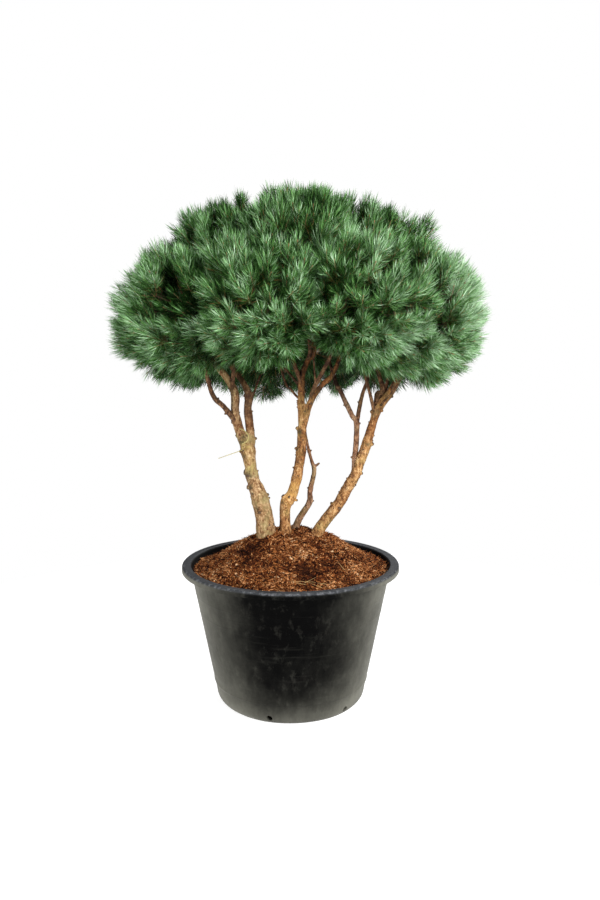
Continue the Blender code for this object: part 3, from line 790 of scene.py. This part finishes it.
def makeBark(name, names, voxel, material, twigs=()):
    shape = bmesh.new()
    for limbName in names:
        line, radii = limbLines[limbName]
        wavy = []
        for k, point in enumerate(line):
            sway = noise.noise_vector(point * 11) * bark["wander"] * min(1.0, radii[k] / 0.012)
            wavy.append(point + Vector((sway.x, sway.y, 0)))
        addTube(shape, wavy, radii, bark["sides"])
    for knot in knots:
        if knot[0] in names:
            addKnot(shape, *knot)
    for start, end, radius in twigs:
        start = Vector(start)
        end = Vector(end)
        bend = noise.noise_vector(start * 40) * 0.008
        addTube(shape, [start, (start + end) / 2 + bend, end], [radius * 1.3, radius, radius * 0.8], 8)
    mesh = fusedMesh(shape, voxel)
    roughenBark(mesh)
    addPiece(name, mesh, material, names, smooth=True)
    print(name, len(mesh.polygons), "faces")


def roughenBark(mesh):
    # Flaking plates: shallow creases round cells stretched up the stem, fainter on thin limbs.
    normals = [vert.normal.copy() for vert in mesh.vertices]
    for vert, normal in zip(mesh.vertices, normals):
        place = vert.co
        strength = max(0.30, min(1.0, 1.35 - (place.z - 0.62) * 1.5))
        cell = Vector((place.x * 105, place.y * 105, place.z * 52)) + noise.noise_vector(place * 60) * 1.1
        distances = noise.voronoi(cell)[0]
        crease = min(1.0, (distances[1] - distances[0]) * 3.2)
        relief = bark["plate"] * (crease - 0.6)
        relief += bark["crease"] * noise.noise(Vector((place.x * 150, place.y * 150, place.z * 50)))
        vert.co = place + normal * relief * strength


def nearPoint(tree, point, size, ragged):
    # White close to a point of the wood and black beyond its size, with a ragged border.
    place = addNode(tree, "ShaderNodeTexCoord")
    away = addNode(tree, "ShaderNodeVectorMath", operation="DISTANCE")
    away.inputs[1].default_value = point
    connect(place.outputs["Object"], away.inputs[0])
    edge = plus(mathNode("DIVIDE", away.outputs["Value"], size * 2.2), ragged)
    return colourRamp(edge, [(0.34, 1), (0.56, 0)])


def barkMaterial(name, tones, speck, lichen, patches=(), upperTone=None):
    # Flakes in three tones, sparse red specks, lichen in soft areas, and darker bark in the crown with
    # streaks of painted highlight and painted shade.
    material = plainMaterial(name, tones[1], 0.86, 0.25)
    tree = material.node_tree
    flakes = patternNoise(tree, 190.0, stretch=(1, 1, 0.6), detail=8.0, rough=0.70)
    broad = patternNoise(tree, 9.0, stretch=(1, 1, 0.5), detail=6.0, rough=0.6)
    peeled = patternNoise(tree, 70.0, stretch=(1, 1, 0.55), detail=7.0, rough=0.75)
    layers = plus(times(flakes, 0.40), times(peeled, 0.60))
    fine = colourRamp(layers, list(zip((0.43, 0.50, 0.59), tones)))
    soft = patternNoise(tree, 15.0, detail=8.0, rough=0.68)
    colour = mixColours(colourRamp(soft, [(0.50, 0), (0.62, lichen[1])]), fine, lichen[0])
    specks = patternNoise(tree, 105.0, stretch=(1, 1, 0.7), detail=6.0, rough=0.7)
    colour = mixColours(colourRamp(specks, [(0.58, 0), (0.63, 1)]), colour, speck)
    shade = colourRamp(broad, [(0.40, (0.58, 0.44, 0.34)), (0.55, 1)])
    colour = mixColours(1.0, colour, shade, "MULTIPLY")
    mottle = colourRamp(patternNoise(tree, 60.0, detail=6.0, rough=0.7), [(0.40, 0.15), (0.56, 1)])
    ragged = mathNode("SUBTRACT", patternNoise(tree, 120.0, detail=7.0, rough=0.75), 0.5)
    ragged = times(ragged, 2.0)
    for point, size, tone, strength in patches:
        share = times(times(nearPoint(tree, point, size, ragged), strength), mottle)
        colour = mixColours(share, colour, tone)
    if upperTone:
        height = plus(placeOutputs(tree)["Z"], times(broad, 0.3))
        # Painted highlight and painted shade: streaks up the limbs, from 0.4 to 2.3 times the upper tone,
        # high on the limbs.
        streaks = colourRamp(patternNoise(tree, 34.0, stretch=(1, 1, 0.3), detail=6.0),
                             [(0.43, tuple(0.4 * part for part in upperTone)),
                              (0.57, tuple(min(1.0, 2.3 * part) for part in upperTone))])
        share = colourRamp(mathNode("SUBTRACT", height, 0.75), [(0.46, 0), (0.62, 1)])
        upper = mixColours(share, (1.0, 1.0, 1.0), streaks)
        colour = mixColours(1.0, colour, upper, "MULTIPLY")
    intoShader("Base Color", colour)
    addBump(layers, 0.006, 0.8)
    return material


greenBlack = (0.030, 0.026, 0.012)
yellowLichen = (0.350, 0.265, 0.080)
leftPatches = [((-0.158, -0.078, 0.975), 0.030, yellowLichen, 0.55),
               ((-0.146, -0.078, 0.905), 0.032, yellowLichen, 0.38),
               ((-0.152, -0.066, 0.866), 0.021, greenBlack, 0.85),
               ((-0.180, -0.062, 1.000), 0.016, greenBlack, 0.80),
               ((-0.150, -0.074, 0.822), 0.015, greenBlack, 0.75),
               ((-0.170, -0.062, 0.936), 0.014, greenBlack, 0.75),
               ((-0.118, -0.085, 0.745), 0.013, greenBlack, 0.60),
               ((-0.160, -0.016, 1.130), 0.060, (0.045, 0.020, 0.010), 0.80)]
ochrePatches = [((0.020, -0.045, 0.958), 0.014, greenBlack, 0.80),
                ((0.030, -0.048, 1.032), 0.014, greenBlack, 0.85),
                ((-0.038, -0.048, 0.764), 0.014, greenBlack, 0.80),
                ((0.310, -0.016, 1.098), 0.018, greenBlack, 0.80),
                ((0.290, -0.018, 0.980), 0.011, greenBlack, 0.70),
                ((0.135, -0.020, 0.733), 0.015, greenBlack, 0.75),
                ((0.012, -0.052, 0.810), 0.055, (0.420, 0.210, 0.050), 0.50)]
# Painted shade: the lower left side of the right stem, and the left side of the middle one, are painted
# darker and redder.
paintedShadeSides = [(0.118, -0.012, 0.700), (0.145, -0.012, 0.730), (0.172, -0.010, 0.768),
             (0.202, -0.010, 0.818), (0.226, -0.010, 0.862), (0.262, -0.010, 0.952),
             (0.282, -0.008, 1.022), (-0.040, -0.040, 0.690), (-0.036, -0.038, 0.735),
             (0.010, -0.040, 0.860), (0.022, -0.040, 0.920), (0.028, -0.038, 0.990)]
for place in paintedShadeSides:
    ochrePatches.append((place, 0.017, (0.085, 0.032, 0.012), 0.75))
leftBark = barkMaterial("leftBark", [(0.085, 0.036, 0.013), (0.220, 0.121, 0.050), (0.450, 0.320, 0.180)],
                        (0.090, 0.028, 0.009), ((0.230, 0.190, 0.080), 0.65), leftPatches,
                        (0.66, 0.54, 0.42))
ochreBark = barkMaterial("ochreBark", [(0.070, 0.026, 0.008), (0.290, 0.142, 0.046), (0.520, 0.345, 0.168)],
                         (0.070, 0.020, 0.006), ((0.240, 0.180, 0.056), 0.55), ochrePatches,
                         (0.27, 0.20, 0.15))
pinkBark = barkMaterial("pinkBark", [(0.090, 0.044, 0.024), (0.215, 0.118, 0.066), (0.420, 0.280, 0.180)],
                        (0.080, 0.030, 0.014), ((0.190, 0.160, 0.060), 0.50), (), (0.30, 0.22, 0.18))
darkBark = barkMaterial("darkBark", [(0.022, 0.009, 0.004), (0.075, 0.032, 0.013), (0.210, 0.115, 0.055)],
                        (0.030, 0.010, 0.004), ((0.110, 0.085, 0.032), 0.30))
pinkLimbs = ["slender_stem", "right_bough_inner"]
darkLimbs = [limb["name"] for limb in limbs if limb["name"] not in leftLimbs + ochreLimbs + pinkLimbs]
makeBark("leftBark", leftLimbs, bark["stemVoxel"], leftBark)
makeBark("ochreBark", ochreLimbs, bark["stemVoxel"], ochreBark)
makeBark("slenderBark", pinkLimbs, bark["boughVoxel"], pinkBark)
makeBark("boughBark", darkLimbs, bark["boughVoxel"], darkBark, sideTwigs)


def makeScars():
    starts, ends, low, high = [np.array(part) for part in zip(*scars)]
    points, corners = taperedSticks(starts, ends, low, high, 9)
    addPiece("knotScars", triangleMesh("knotScars", points, corners),
             plainMaterial("scarBrown", (0.060, 0.034, 0.016), 0.9))
    # A dry stalk sticks out of the left stem, and another lies curled round its fork.
    curl = smoothLine([Vector(place) for place in ((-0.187, -0.058, 1.040), (-0.168, -0.076, 1.036),
                                                   (-0.151, -0.078, 1.014), (-0.158, -0.079, 0.996),
                                                   (-0.176, -0.074, 0.986))], 0.008)
    starts = np.array([(-0.164, -0.066, 0.966)] + [tuple(place) for place in curl[:-1]])
    ends = np.array([(-0.262, -0.085, 0.934)] + [tuple(place) for place in curl[1:]])
    radii = np.where(np.arange(len(starts)) == 0, 0.0014, 0.0020)
    points, corners = taperedSticks(starts, ends, radii, radii * 0.85, 6)
    addPiece("dryStraw", triangleMesh("dryStraw", points, corners),
             plainMaterial("strawGreen", (0.310, 0.265, 0.095), 0.7))


makeScars()


# Foliage: twigs from the nearest wood, first where the solids have theirs and then finer ones

spray = dict(lift=0.50, openShare=0.75, coarse=22, fine=140, inner=24, hollow=0.110, sideShoots=2,
             sway=0.55, thinned=0.58, closing=20)
shoot = dict(length=(0.062, 0.095), needles=92, needle=0.046, width=0.0020, innerWidth=1.9,
             overhang=0.022, variants=16, pieceLimit=98000)
bulges = [  # places where the foliage stands out of its even outline: centre, size, amount
    ((0.60, -0.06, 1.70), 0.12, 0.045), ((0.53, -0.05, 1.79), 0.08, 0.042),
    ((0.38, -0.05, 1.83), 0.11, -0.030), ((-0.68, -0.05, 1.455), 0.05, 0.018),
    ((-0.66, -0.05, 1.36), 0.06, -0.022), ((-0.66, -0.05, 1.53), 0.06, -0.016),
    ((0.08, 0.00, 1.90), 0.20, 0.014), ((0.64, -0.10, 1.27), 0.16, 0.024),
    ((-0.20, -0.05, 1.86), 0.10, 0.008), ((-0.52, -0.05, 1.69), 0.08, 0.024),
    ((-0.03, 0.42, 1.15), 0.20, 0.040),
    ((0.08, -0.35, 1.29), 0.13, -0.060), ((0.18, 0.38, 1.17), 0.12, -0.050),
    ((0.42, -0.44, 1.48), 0.13, 0.036), ((0.60, -0.17, 1.50), 0.10, 0.026),
    ((-0.34, -0.40, 1.53), 0.07, -0.065), ((-0.05, -0.52, 1.53), 0.09, -0.055),
    ((0.16, -0.50, 1.54), 0.06, -0.040), ((0.06, -0.60, 1.41), 0.08, 0.030),
    ((-0.30, -0.50, 1.38), 0.09, 0.024),
]
paintedLightAndShade = [  # painted light and painted shade: soft places in the crown painted paler or darker: centre, size, amount
    ((0.50, -0.35, 1.44), 0.17, 0.90), ((0.60, -0.16, 1.48), 0.10, 1.00), ((-0.40, -0.30, 1.60), 0.12, 0.40),
    ((0.02, -0.35, 1.80), 0.14, -0.45), ((0.06, -0.58, 1.41), 0.09, 0.60), ((-0.31, -0.45, 1.37), 0.09, 0.60),
    ((-0.34, -0.40, 1.53), 0.08, -1.10), ((-0.06, -0.52, 1.52), 0.11, -0.95),
    ((0.16, -0.50, 1.53), 0.07, -0.70), ((-0.02, -0.42, 1.31), 0.07, -0.80),
    ((0.40, -0.34, 1.66), 0.12, -0.50),
]
# The shade tone is painted shade for needles deep in the crown and underneath; the pale and silver tones are
# paler needles that also stand in for painted glints.
needleTones = [("needlesShade", (0.006, 0.024, 0.003)), ("needlesDeep", (0.030, 0.092, 0.016)),
               ("needlesGreen", (0.092, 0.212, 0.058)), ("needlesBlue", (0.170, 0.320, 0.142)),
               ("needlesPale", (0.280, 0.430, 0.245)), ("needlesSilverAndPaintedGlint", (0.370, 0.520, 0.345)),
               ("needlesOld", (0.170, 0.100, 0.034))]


def evenDirections(count, rng, wander=0.12):
    directions = []
    golden = math.pi * (3 - math.sqrt(5))
    turnStart = rng.uniform(0, 2 * math.pi)
    for k in range(count):
        height = 1 - 2 * (k + 0.5) / count
        flat = math.sqrt(1 - height * height)
        angle = turnStart + golden * k
        direction = Vector((flat * math.cos(angle), flat * math.sin(angle), height))
        offset = Vector((rng.uniform(-1, 1), rng.uniform(-1, 1), rng.uniform(-1, 1)))
        directions.append((direction + offset * wander).normalized())
    return directions


limbRuns = []
for limb in limbs:
    line, radii = limbLines[limb["name"]]
    for k in range(0, len(line) - 4, 4):
        limbRuns.append((tuple(line[k]), tuple(line[k + 4]), radii[k], limb["mass"]))
runStarts = np.array([run[0] for run in limbRuns])
runEnds = np.array([run[1] for run in limbRuns])
runRadii = np.array([run[2] for run in limbRuns])


def clearOfLimbs(points, room, ownMass):
    # True where every limb but the mass's own stem stays further off than room.
    along = runEnds - runStarts
    away = points[:, None, :] - runStarts[None]
    share = np.clip((away * along).sum(2) / (along ** 2).sum(1), 0, 1)
    gap = np.linalg.norm(away - share[:, :, None] * along, axis=2) - runRadii
    own = np.array([run[3] == ownMass for run in limbRuns])
    gap[:, own] = 1.0
    return gap.min(axis=1) > room


crownHeart = np.array((crown["centre"][0], crown["centre"][1], 1.36))


def besideShoot(base, along, length, depth, rng):
    # The shorter shoots of a whorl, which start with the leader and turn up beside it.
    helper = np.array((0.3, 0.2, 1.0)) if abs(along[2]) < 0.8 else np.array((1.0, 0.3, 0.1))
    across = np.cross(along, helper)
    across /= np.linalg.norm(across)
    other = np.cross(along, across)
    start = rng.uniform(0, 2 * math.pi)
    grown = []
    for k in range(spray["sideShoots"]):
        angle = start + 2 * math.pi * k / spray["sideShoots"] + rng.uniform(-0.5, 0.5)
        spread = math.radians(rng.uniform(18, 38))
        heading = along * math.cos(spread)
        heading = heading + (across * math.cos(angle) + other * math.sin(angle)) * math.sin(spread)
        heading[2] += 0.12
        heading /= np.linalg.norm(heading)
        grown.append((base, base + heading * length * rng.uniform(0.66, 0.90), depth + 0.12))
    return grown


def growMass(mass, number):
    # Returns the mass's twigs, and its shoots with a start, an end and a depth in the crown.
    rng = random.Random(100 + number)
    heart = np.array(mass["heart"])
    isRear = heart[1] > 0.2
    feeder = [limb for limb in limbs if limb["mass"] == mass["name"]][0]
    line = limbLines[feeder["name"]][0]
    inside = [p for p in line if inMass(mass, np.array([tuple(p)]))[0]]
    wood = [tuple(p) for p in inside[::5]] + [tuple(heart)]
    parents = [-1] * len(wood)
    twigs = []
    shoots = []
    for level, count in enumerate((spray["coarse"], spray["fine"], spray["inner"])):
        directions = evenDirections(count, rng, 0.12 + 0.06 * level)
        if level == 2 and (isRear or heart[2] > 1.6):
            # The back of the crown is seen from below and its top from above: both need more shoots.
            more = evenDirections(spray["closing"] * (2 if isRear else 1), rng)
            directions += [d for d in more if d.z < 0.1 or not isRear]
        directions = np.array([tuple(d) for d in directions])
        reach = massReach(mass, directions)
        openReach = massReach(mass, directions, alone=True)
        for direction, full, alone in zip(directions, reach, openReach):
            isOpen = full >= alone * spray["openShare"]
            if isOpen and level < 2:
                for centre, width, amount in bulges:
                    gap = np.linalg.norm(heart + direction * full - np.array(centre))
                    full += amount * math.exp(-(gap / width) ** 2)
            dent = noise.noise(Vector(heart + direction * full) * 8.5)
            inset = shoot["overhang"] * (1 + 0.9 * min(0.0, direction[2]))
            across = (heart[0] + direction[0] * full - crown["centre"][0]) / crown["radius"]
            hollow = spray["hollow"] * min(1.35, max(0.40, 1.0 - 0.8 * across))
            if isRear and direction[2] < 0:
                hollow *= 0.2
            inset += hollow * max(0.0, dent - 0.02) + rng.random() * 0.012
            if level == 2:
                inset += (0.015 if isRear and direction[2] < 0 else 0.060) + 0.05 * rng.random()
            elif not isOpen:
                inset = 0.004
            length = rng.uniform(*shoot["length"])
            tip = heart + direction * (full - inset)
            # Shoots near each other sweep the same way: out of the crown and up.
            outward = tip - crownHeart
            outward /= np.linalg.norm(outward)
            sway = np.array(noise.noise_vector(Vector(tip) * 4.5)) * spray["sway"]
            loose = np.array([rng.uniform(-1, 1) for _ in range(3)]) * 0.12
            lift = spray["lift"] * (1 + 1.2 * max(0.0, direction[2]) + min(0.0, direction[2]))
            along = direction * 0.45 + outward * 0.65 + np.array((0, 0, lift)) + sway + loose
            along /= np.linalg.norm(along)
            base = tip - along * length
            deeper = crownHeart + (tip - crownHeart) * 1.32
            hidden = level < 2 and tip[2] > 1.40 and inCrown(deeper[None])[0]
            if hidden and rng.random() < spray["thinned"]:
                continue
            tests = np.array([tip, (tip + base) / 2])
            if not clearOfLimbs(tests, crown["limbRoom"], mass["name"]).all():
                continue
            places = np.array(wood)
            cost = np.linalg.norm(places - base, axis=1) + 0.5 * np.linalg.norm(places - heart, axis=1)
            nearest = int(np.argmin(cost))
            twigs.append((places[nearest], base, len(wood)))
            middle = (places[nearest] + base) / 2
            wood.append(tuple(middle))
            parents.append(nearest)
            depth = 1.0 if level == 2 or hidden else (inset - shoot["overhang"]) / 0.06
            shoots.append((base, tip, depth))
            shoots += besideShoot(base, along, length, depth, rng)
    carried = [0] * len(wood)
    for k in range(len(wood) - 1, -1, -1):
        carried[k] += 1
        if parents[k] >= 0:
            carried[parents[k]] += carried[k]
    thick = [0.0011 + 0.00062 * math.sqrt(carried[index]) for _, _, index in twigs]
    return twigs, thick, shoots


def growCrown():
    starts, ends, radii, shoots = [], [], [], []
    for number, name in enumerate(masses):
        twigs, thick, grown = growMass(masses[name], number)
        for (start, end, _), radius in zip(twigs, thick):
            starts.append(start)
            ends.append(end)
            radii.append(radius)
        shoots += grown
    return np.array(starts), np.array(ends), np.array(radii), shoots


def bentTwigs(starts, ends, radii, rng):
    # Each twig has one soft bend, and hangs a little at its middle.
    length = np.linalg.norm(ends - starts, axis=1)
    middles = (starts + ends) / 2 + rng.normal(0, 0.06, starts.shape) * length[:, None]
    middles[:, 2] -= length * 0.05
    low = taperedSticks(starts, middles, radii * 1.25, radii, 4)
    high = taperedSticks(middles, ends, radii, radii * 0.8, 4)
    return stackMeshes([low, high])


def needleTemplate(rng):
    # One shoot along +Z from 0 to 1: needles turn round it by the golden angle and sweep forwards.
    count = shoot["needles"]
    share = (np.arange(count) + 0.5) / count
    height = 0.08 + 0.92 * share ** 0.9
    angle = np.arange(count) * 2.39996 + rng.normal(0, 0.3, count)
    lean = np.radians(50 - 34 * share ** 1.4 + rng.normal(0, 7, count))
    out = np.stack([np.cos(angle), np.sin(angle), np.zeros(count)], axis=1)
    up = np.array((0.0, 0.0, 1.0))
    along = out * np.sin(lean)[:, None] + up * np.cos(lean)[:, None]
    side = np.stack([-np.sin(angle), np.cos(angle), np.zeros(count)], axis=1)
    bend = np.cross(side, along)
    twist = rng.uniform(-1.1, 1.1, count)[:, None]
    wide = side * np.cos(twist) + bend * np.sin(twist)
    length = shoot["needle"] * rng.uniform(0.75, 1.12, count)[:, None]
    base = out * 0.001
    half = wide * shoot["width"] * 0.5
    middle = base + along * length * 0.5 + bend * length * rng.uniform(0.02, 0.11, count)[:, None]
    points = np.stack([base, middle + half, middle - half, base + along * length], axis=1)
    return height, points


def needleToneAndPaintedLight(shoots, tips, rng):
    # Deeper green on the left and inside, paler and bluer on the right and at the low front, and darker
    # towards the top: the left and right are painted light, and the inside, underside and low back are
    # painted shade.
    depth = np.array([s[2] for s in shoots])
    across = (tips[:, 0] - crown["centre"][0]) / crown["radius"]
    front = -tips[:, 1] / crown["radius"]
    patch = np.array([noise.noise(Vector(p) * 5.5) for p in tips])
    high = np.clip((tips[:, 2] - 1.62) / 0.25, 0, 1)
    side = across ** 2 * np.exp(-((tips[:, 2] - 1.46) / 0.13) ** 2)
    # Painted light: paler towards the right, and darker towards the top; the patch is tone that differs from
    # place to place.
    level = 2.10 + 0.22 * across + 0.10 * across ** 2 + 0.85 * patch - 1.10 * high
    # Painted light: the crown's widest part is paler at both sides, more on the right.
    level += (0.92 + 0.38 * across) * side
    # Painted light and painted shade in the listed soft places.
    for centre, width, amount in paintedLightAndShade:
        level += amount * np.exp(-(np.linalg.norm(tips - np.array(centre), axis=1) / width) ** 2)
    # Painted shade underneath the crown, deeper at its low back.
    level -= 0.55 * np.clip((1.37 - tips[:, 2]) / 0.08, 0, 1)
    level -= 1.6 * np.clip((1.33 - tips[:, 2]) / 0.12, 0, 1) * np.clip(0.3 - 3 * front, 0, 1)
    # Painted shade inside the crown, where depth is high, and a random spread of tone.
    return level + rng.normal(0, 0.50, len(tips)) - 2.4 * np.clip(depth, 0, 1)


def makeNeedles(shoots):
    rng = np.random.default_rng(7)
    templates = [needleTemplate(rng) for _ in range(shoot["variants"])]
    bases = np.array([s[0] for s in shoots])
    tips = np.array([s[1] for s in shoots])
    level = needleToneAndPaintedLight(shoots, tips, rng)
    isInner = np.array([s[2] for s in shoots]) > 0.9
    length = np.linalg.norm(tips - bases, axis=1)
    frames = framesAlong(tips - bases, rng.uniform(0, 2 * np.pi, len(shoots)))
    variant = rng.integers(0, len(templates), len(shoots))
    size = rng.uniform(0.9, 1.08, len(shoots))
    needles = []
    tones = []
    for which, (height, points) in enumerate(templates):
        chosen = np.nonzero(variant == which)[0]
        lift = np.zeros((len(chosen), len(height), 4, 3))
        lift[..., 2] = (height[None, :] * length[chosen][:, None])[:, :, None]
        local = lift + points[None] * size[chosen][:, None, None, None]
        # Shoots deep inside the crown carry every second needle, and wider ones.
        wider = (shoot["innerWidth"] - 1) * isInner[chosen][:, None, None] * (points[:, 1] - points[:, 2]) / 2
        local[:, :, 1] += wider
        local[:, :, 2] -= wider
        placed = np.einsum("nij,nkcj->nkci", frames[chosen], local) + bases[chosen][:, None, None, :]
        kept = ~isInner[chosen][:, None] | (np.arange(len(height)) % 2 == 0)[None, :]
        needles.append(placed[kept])
        # The needles low on a shoot are a year older and darker, partly as painted shade, and single ones are
        # painted paler as painted glints.
        tone = level[chosen][:, None] + 3.2 * (height[None, :] - 0.66)
        tone = tone + rng.normal(0, 1.15, tone.shape)
        tone = np.clip(np.round(tone), 0, 5)
        tone[(rng.random(tone.shape) < 0.12) & (height < 0.40)] = 6
        tones.append(tone[kept])
    needles = np.concatenate(needles)
    tones = np.concatenate(tones).astype(int)
    groups = []
    for number in range(len(needleTones)):
        chosen = np.nonzero(tones == number)[0]
        parts = max(1, math.ceil(len(chosen) / shoot["pieceLimit"]))
        groups += [(number, k, part) for k, part in enumerate(np.array_split(chosen, parts))]
    corners = np.array([(0, 1, 2), (2, 1, 3)])
    materials = [plainMaterial(name, colour, 0.42, 0.15) for name, colour in needleTones]
    for place, (number, k, part) in enumerate(groups):
        name = "%s_%d" % (needleTones[number][0], k + 1)
        mesh = triangleMesh(name, needles[part].reshape(-1, 3), repeatCorners(corners, len(part), 4))
        addPiece(name, mesh, materials[number], massNames[place::len(groups)])
        print(name, len(part) * 2, "triangles")


def makeFoliage():
    starts, ends, radii, shoots = growCrown()
    rng = np.random.default_rng(5)
    twigs = bentTwigs(starts, ends, radii, rng)
    bases = np.array([s[0] for s in shoots])
    tips = np.array([s[1] for s in shoots])
    twigBrown = plainMaterial("twigBrown", (0.060, 0.036, 0.016), 0.85)
    addPiece("twigs", triangleMesh("twigs", *twigs), twigBrown)
    shootRadii = np.full(len(shoots), 0.0014)
    axes = taperedSticks(bases, tips, shootRadii, shootRadii * 0.5, 3)
    addPiece("shoots", triangleMesh("shoots", *axes), plainMaterial("shootOchre", (0.200, 0.125, 0.050), 0.8))
    outer = np.array([s[2] for s in shoots]) < 0.6
    budTips = tips[outer] + (tips - bases)[outer] * 0.11
    buds = taperedSticks(tips[outer], budTips, shootRadii[outer] * 1.5, shootRadii[outer] * 0.5, 3)
    budBrown = plainMaterial("budBrown", (0.300, 0.155, 0.065), 0.7)
    addPiece("buds", triangleMesh("buds", *buds), budBrown)
    made = len(twigs[1]) + len(axes[1]) + len(buds[1])
    print("twigs made,", made, "triangles,", len(shoots), "shoots")
    makeNeedles(shoots)


makeFoliage()


# Floor and light

studio = dict(floorRadius=2.2, floorColour=(0.42, 0.42, 0.418), floorGlow=0.82, key=335.0, fill=130.0,
              back=110.0, top=30.0, worldLight=0.12)


def addArea(name, place, target, size, power):
    lamp = bpy.data.lights.new(name, "AREA")
    lamp.shape = "SQUARE"
    lamp.size = size
    lamp.energy = power
    thing = addObject(name, lamp)
    thing.location = place
    aim = Vector(target) - Vector(place)
    thing.rotation_euler = aim.to_track_quat("-Z", "Y").to_euler()


def makeStudio():
    radius = studio["floorRadius"]
    sides = 96
    rim = []
    for k in range(sides):
        angle = 2 * math.pi * k / sides
        rim.append((radius * math.cos(angle), radius * math.sin(angle), 0.0))
    mesh = bpy.data.meshes.new("floor")
    mesh.from_pydata(rim, [], [tuple(range(sides))])
    floor = addObject("floor", mesh)
    paleFloor = plainMaterial("paleFloor", studio["floorColour"], 0.9)
    shader = paleFloor.node_tree.nodes["Principled BSDF"]
    shader.inputs["Emission Color"].default_value = (1.0, 1.0, 1.0, 1.0)
    shader.inputs["Emission Strength"].default_value = studio["floorGlow"]
    mesh.materials.append(paleFloor)
    addArea("keyLight", (2.2, -3.0, 2.4), (0, 0, 1.2), 2.2, studio["key"])
    addArea("fillLight", (-2.5, -2.7, 1.05), (0, 0, 1.15), 1.8, studio["fill"])
    addArea("backLight", (0.4, 3.2, 3.2), (0, 0, 1.3), 2.4, studio["back"])
    addArea("topLight", (0.0, -0.4, 5.2), (0, 0, 0), 4.2, studio["top"])
    world = bpy.data.worlds.new("paleWorld")
    bpy.context.scene.world = world
    world.use_nodes = True
    background = world.node_tree.nodes["Background"]
    background.inputs["Color"].default_value = (1.0, 1.0, 1.0, 1.0)
    # A white backdrop to look at, and a softer glow to light the plant with.
    path = addNode(world.node_tree, "ShaderNodeLightPath")
    glow = addNode(world.node_tree, "ShaderNodeMapRange")
    glow.inputs["To Min"].default_value = studio["worldLight"]
    glow.inputs["To Max"].default_value = 1.0
    connect(path.outputs["Is Camera Ray"], glow.inputs["Value"])
    connect(glow.outputs["Result"], background.inputs["Strength"])
    bpy.context.scene.view_settings.view_transform = "Standard"


makeStudio()
print("studio made")
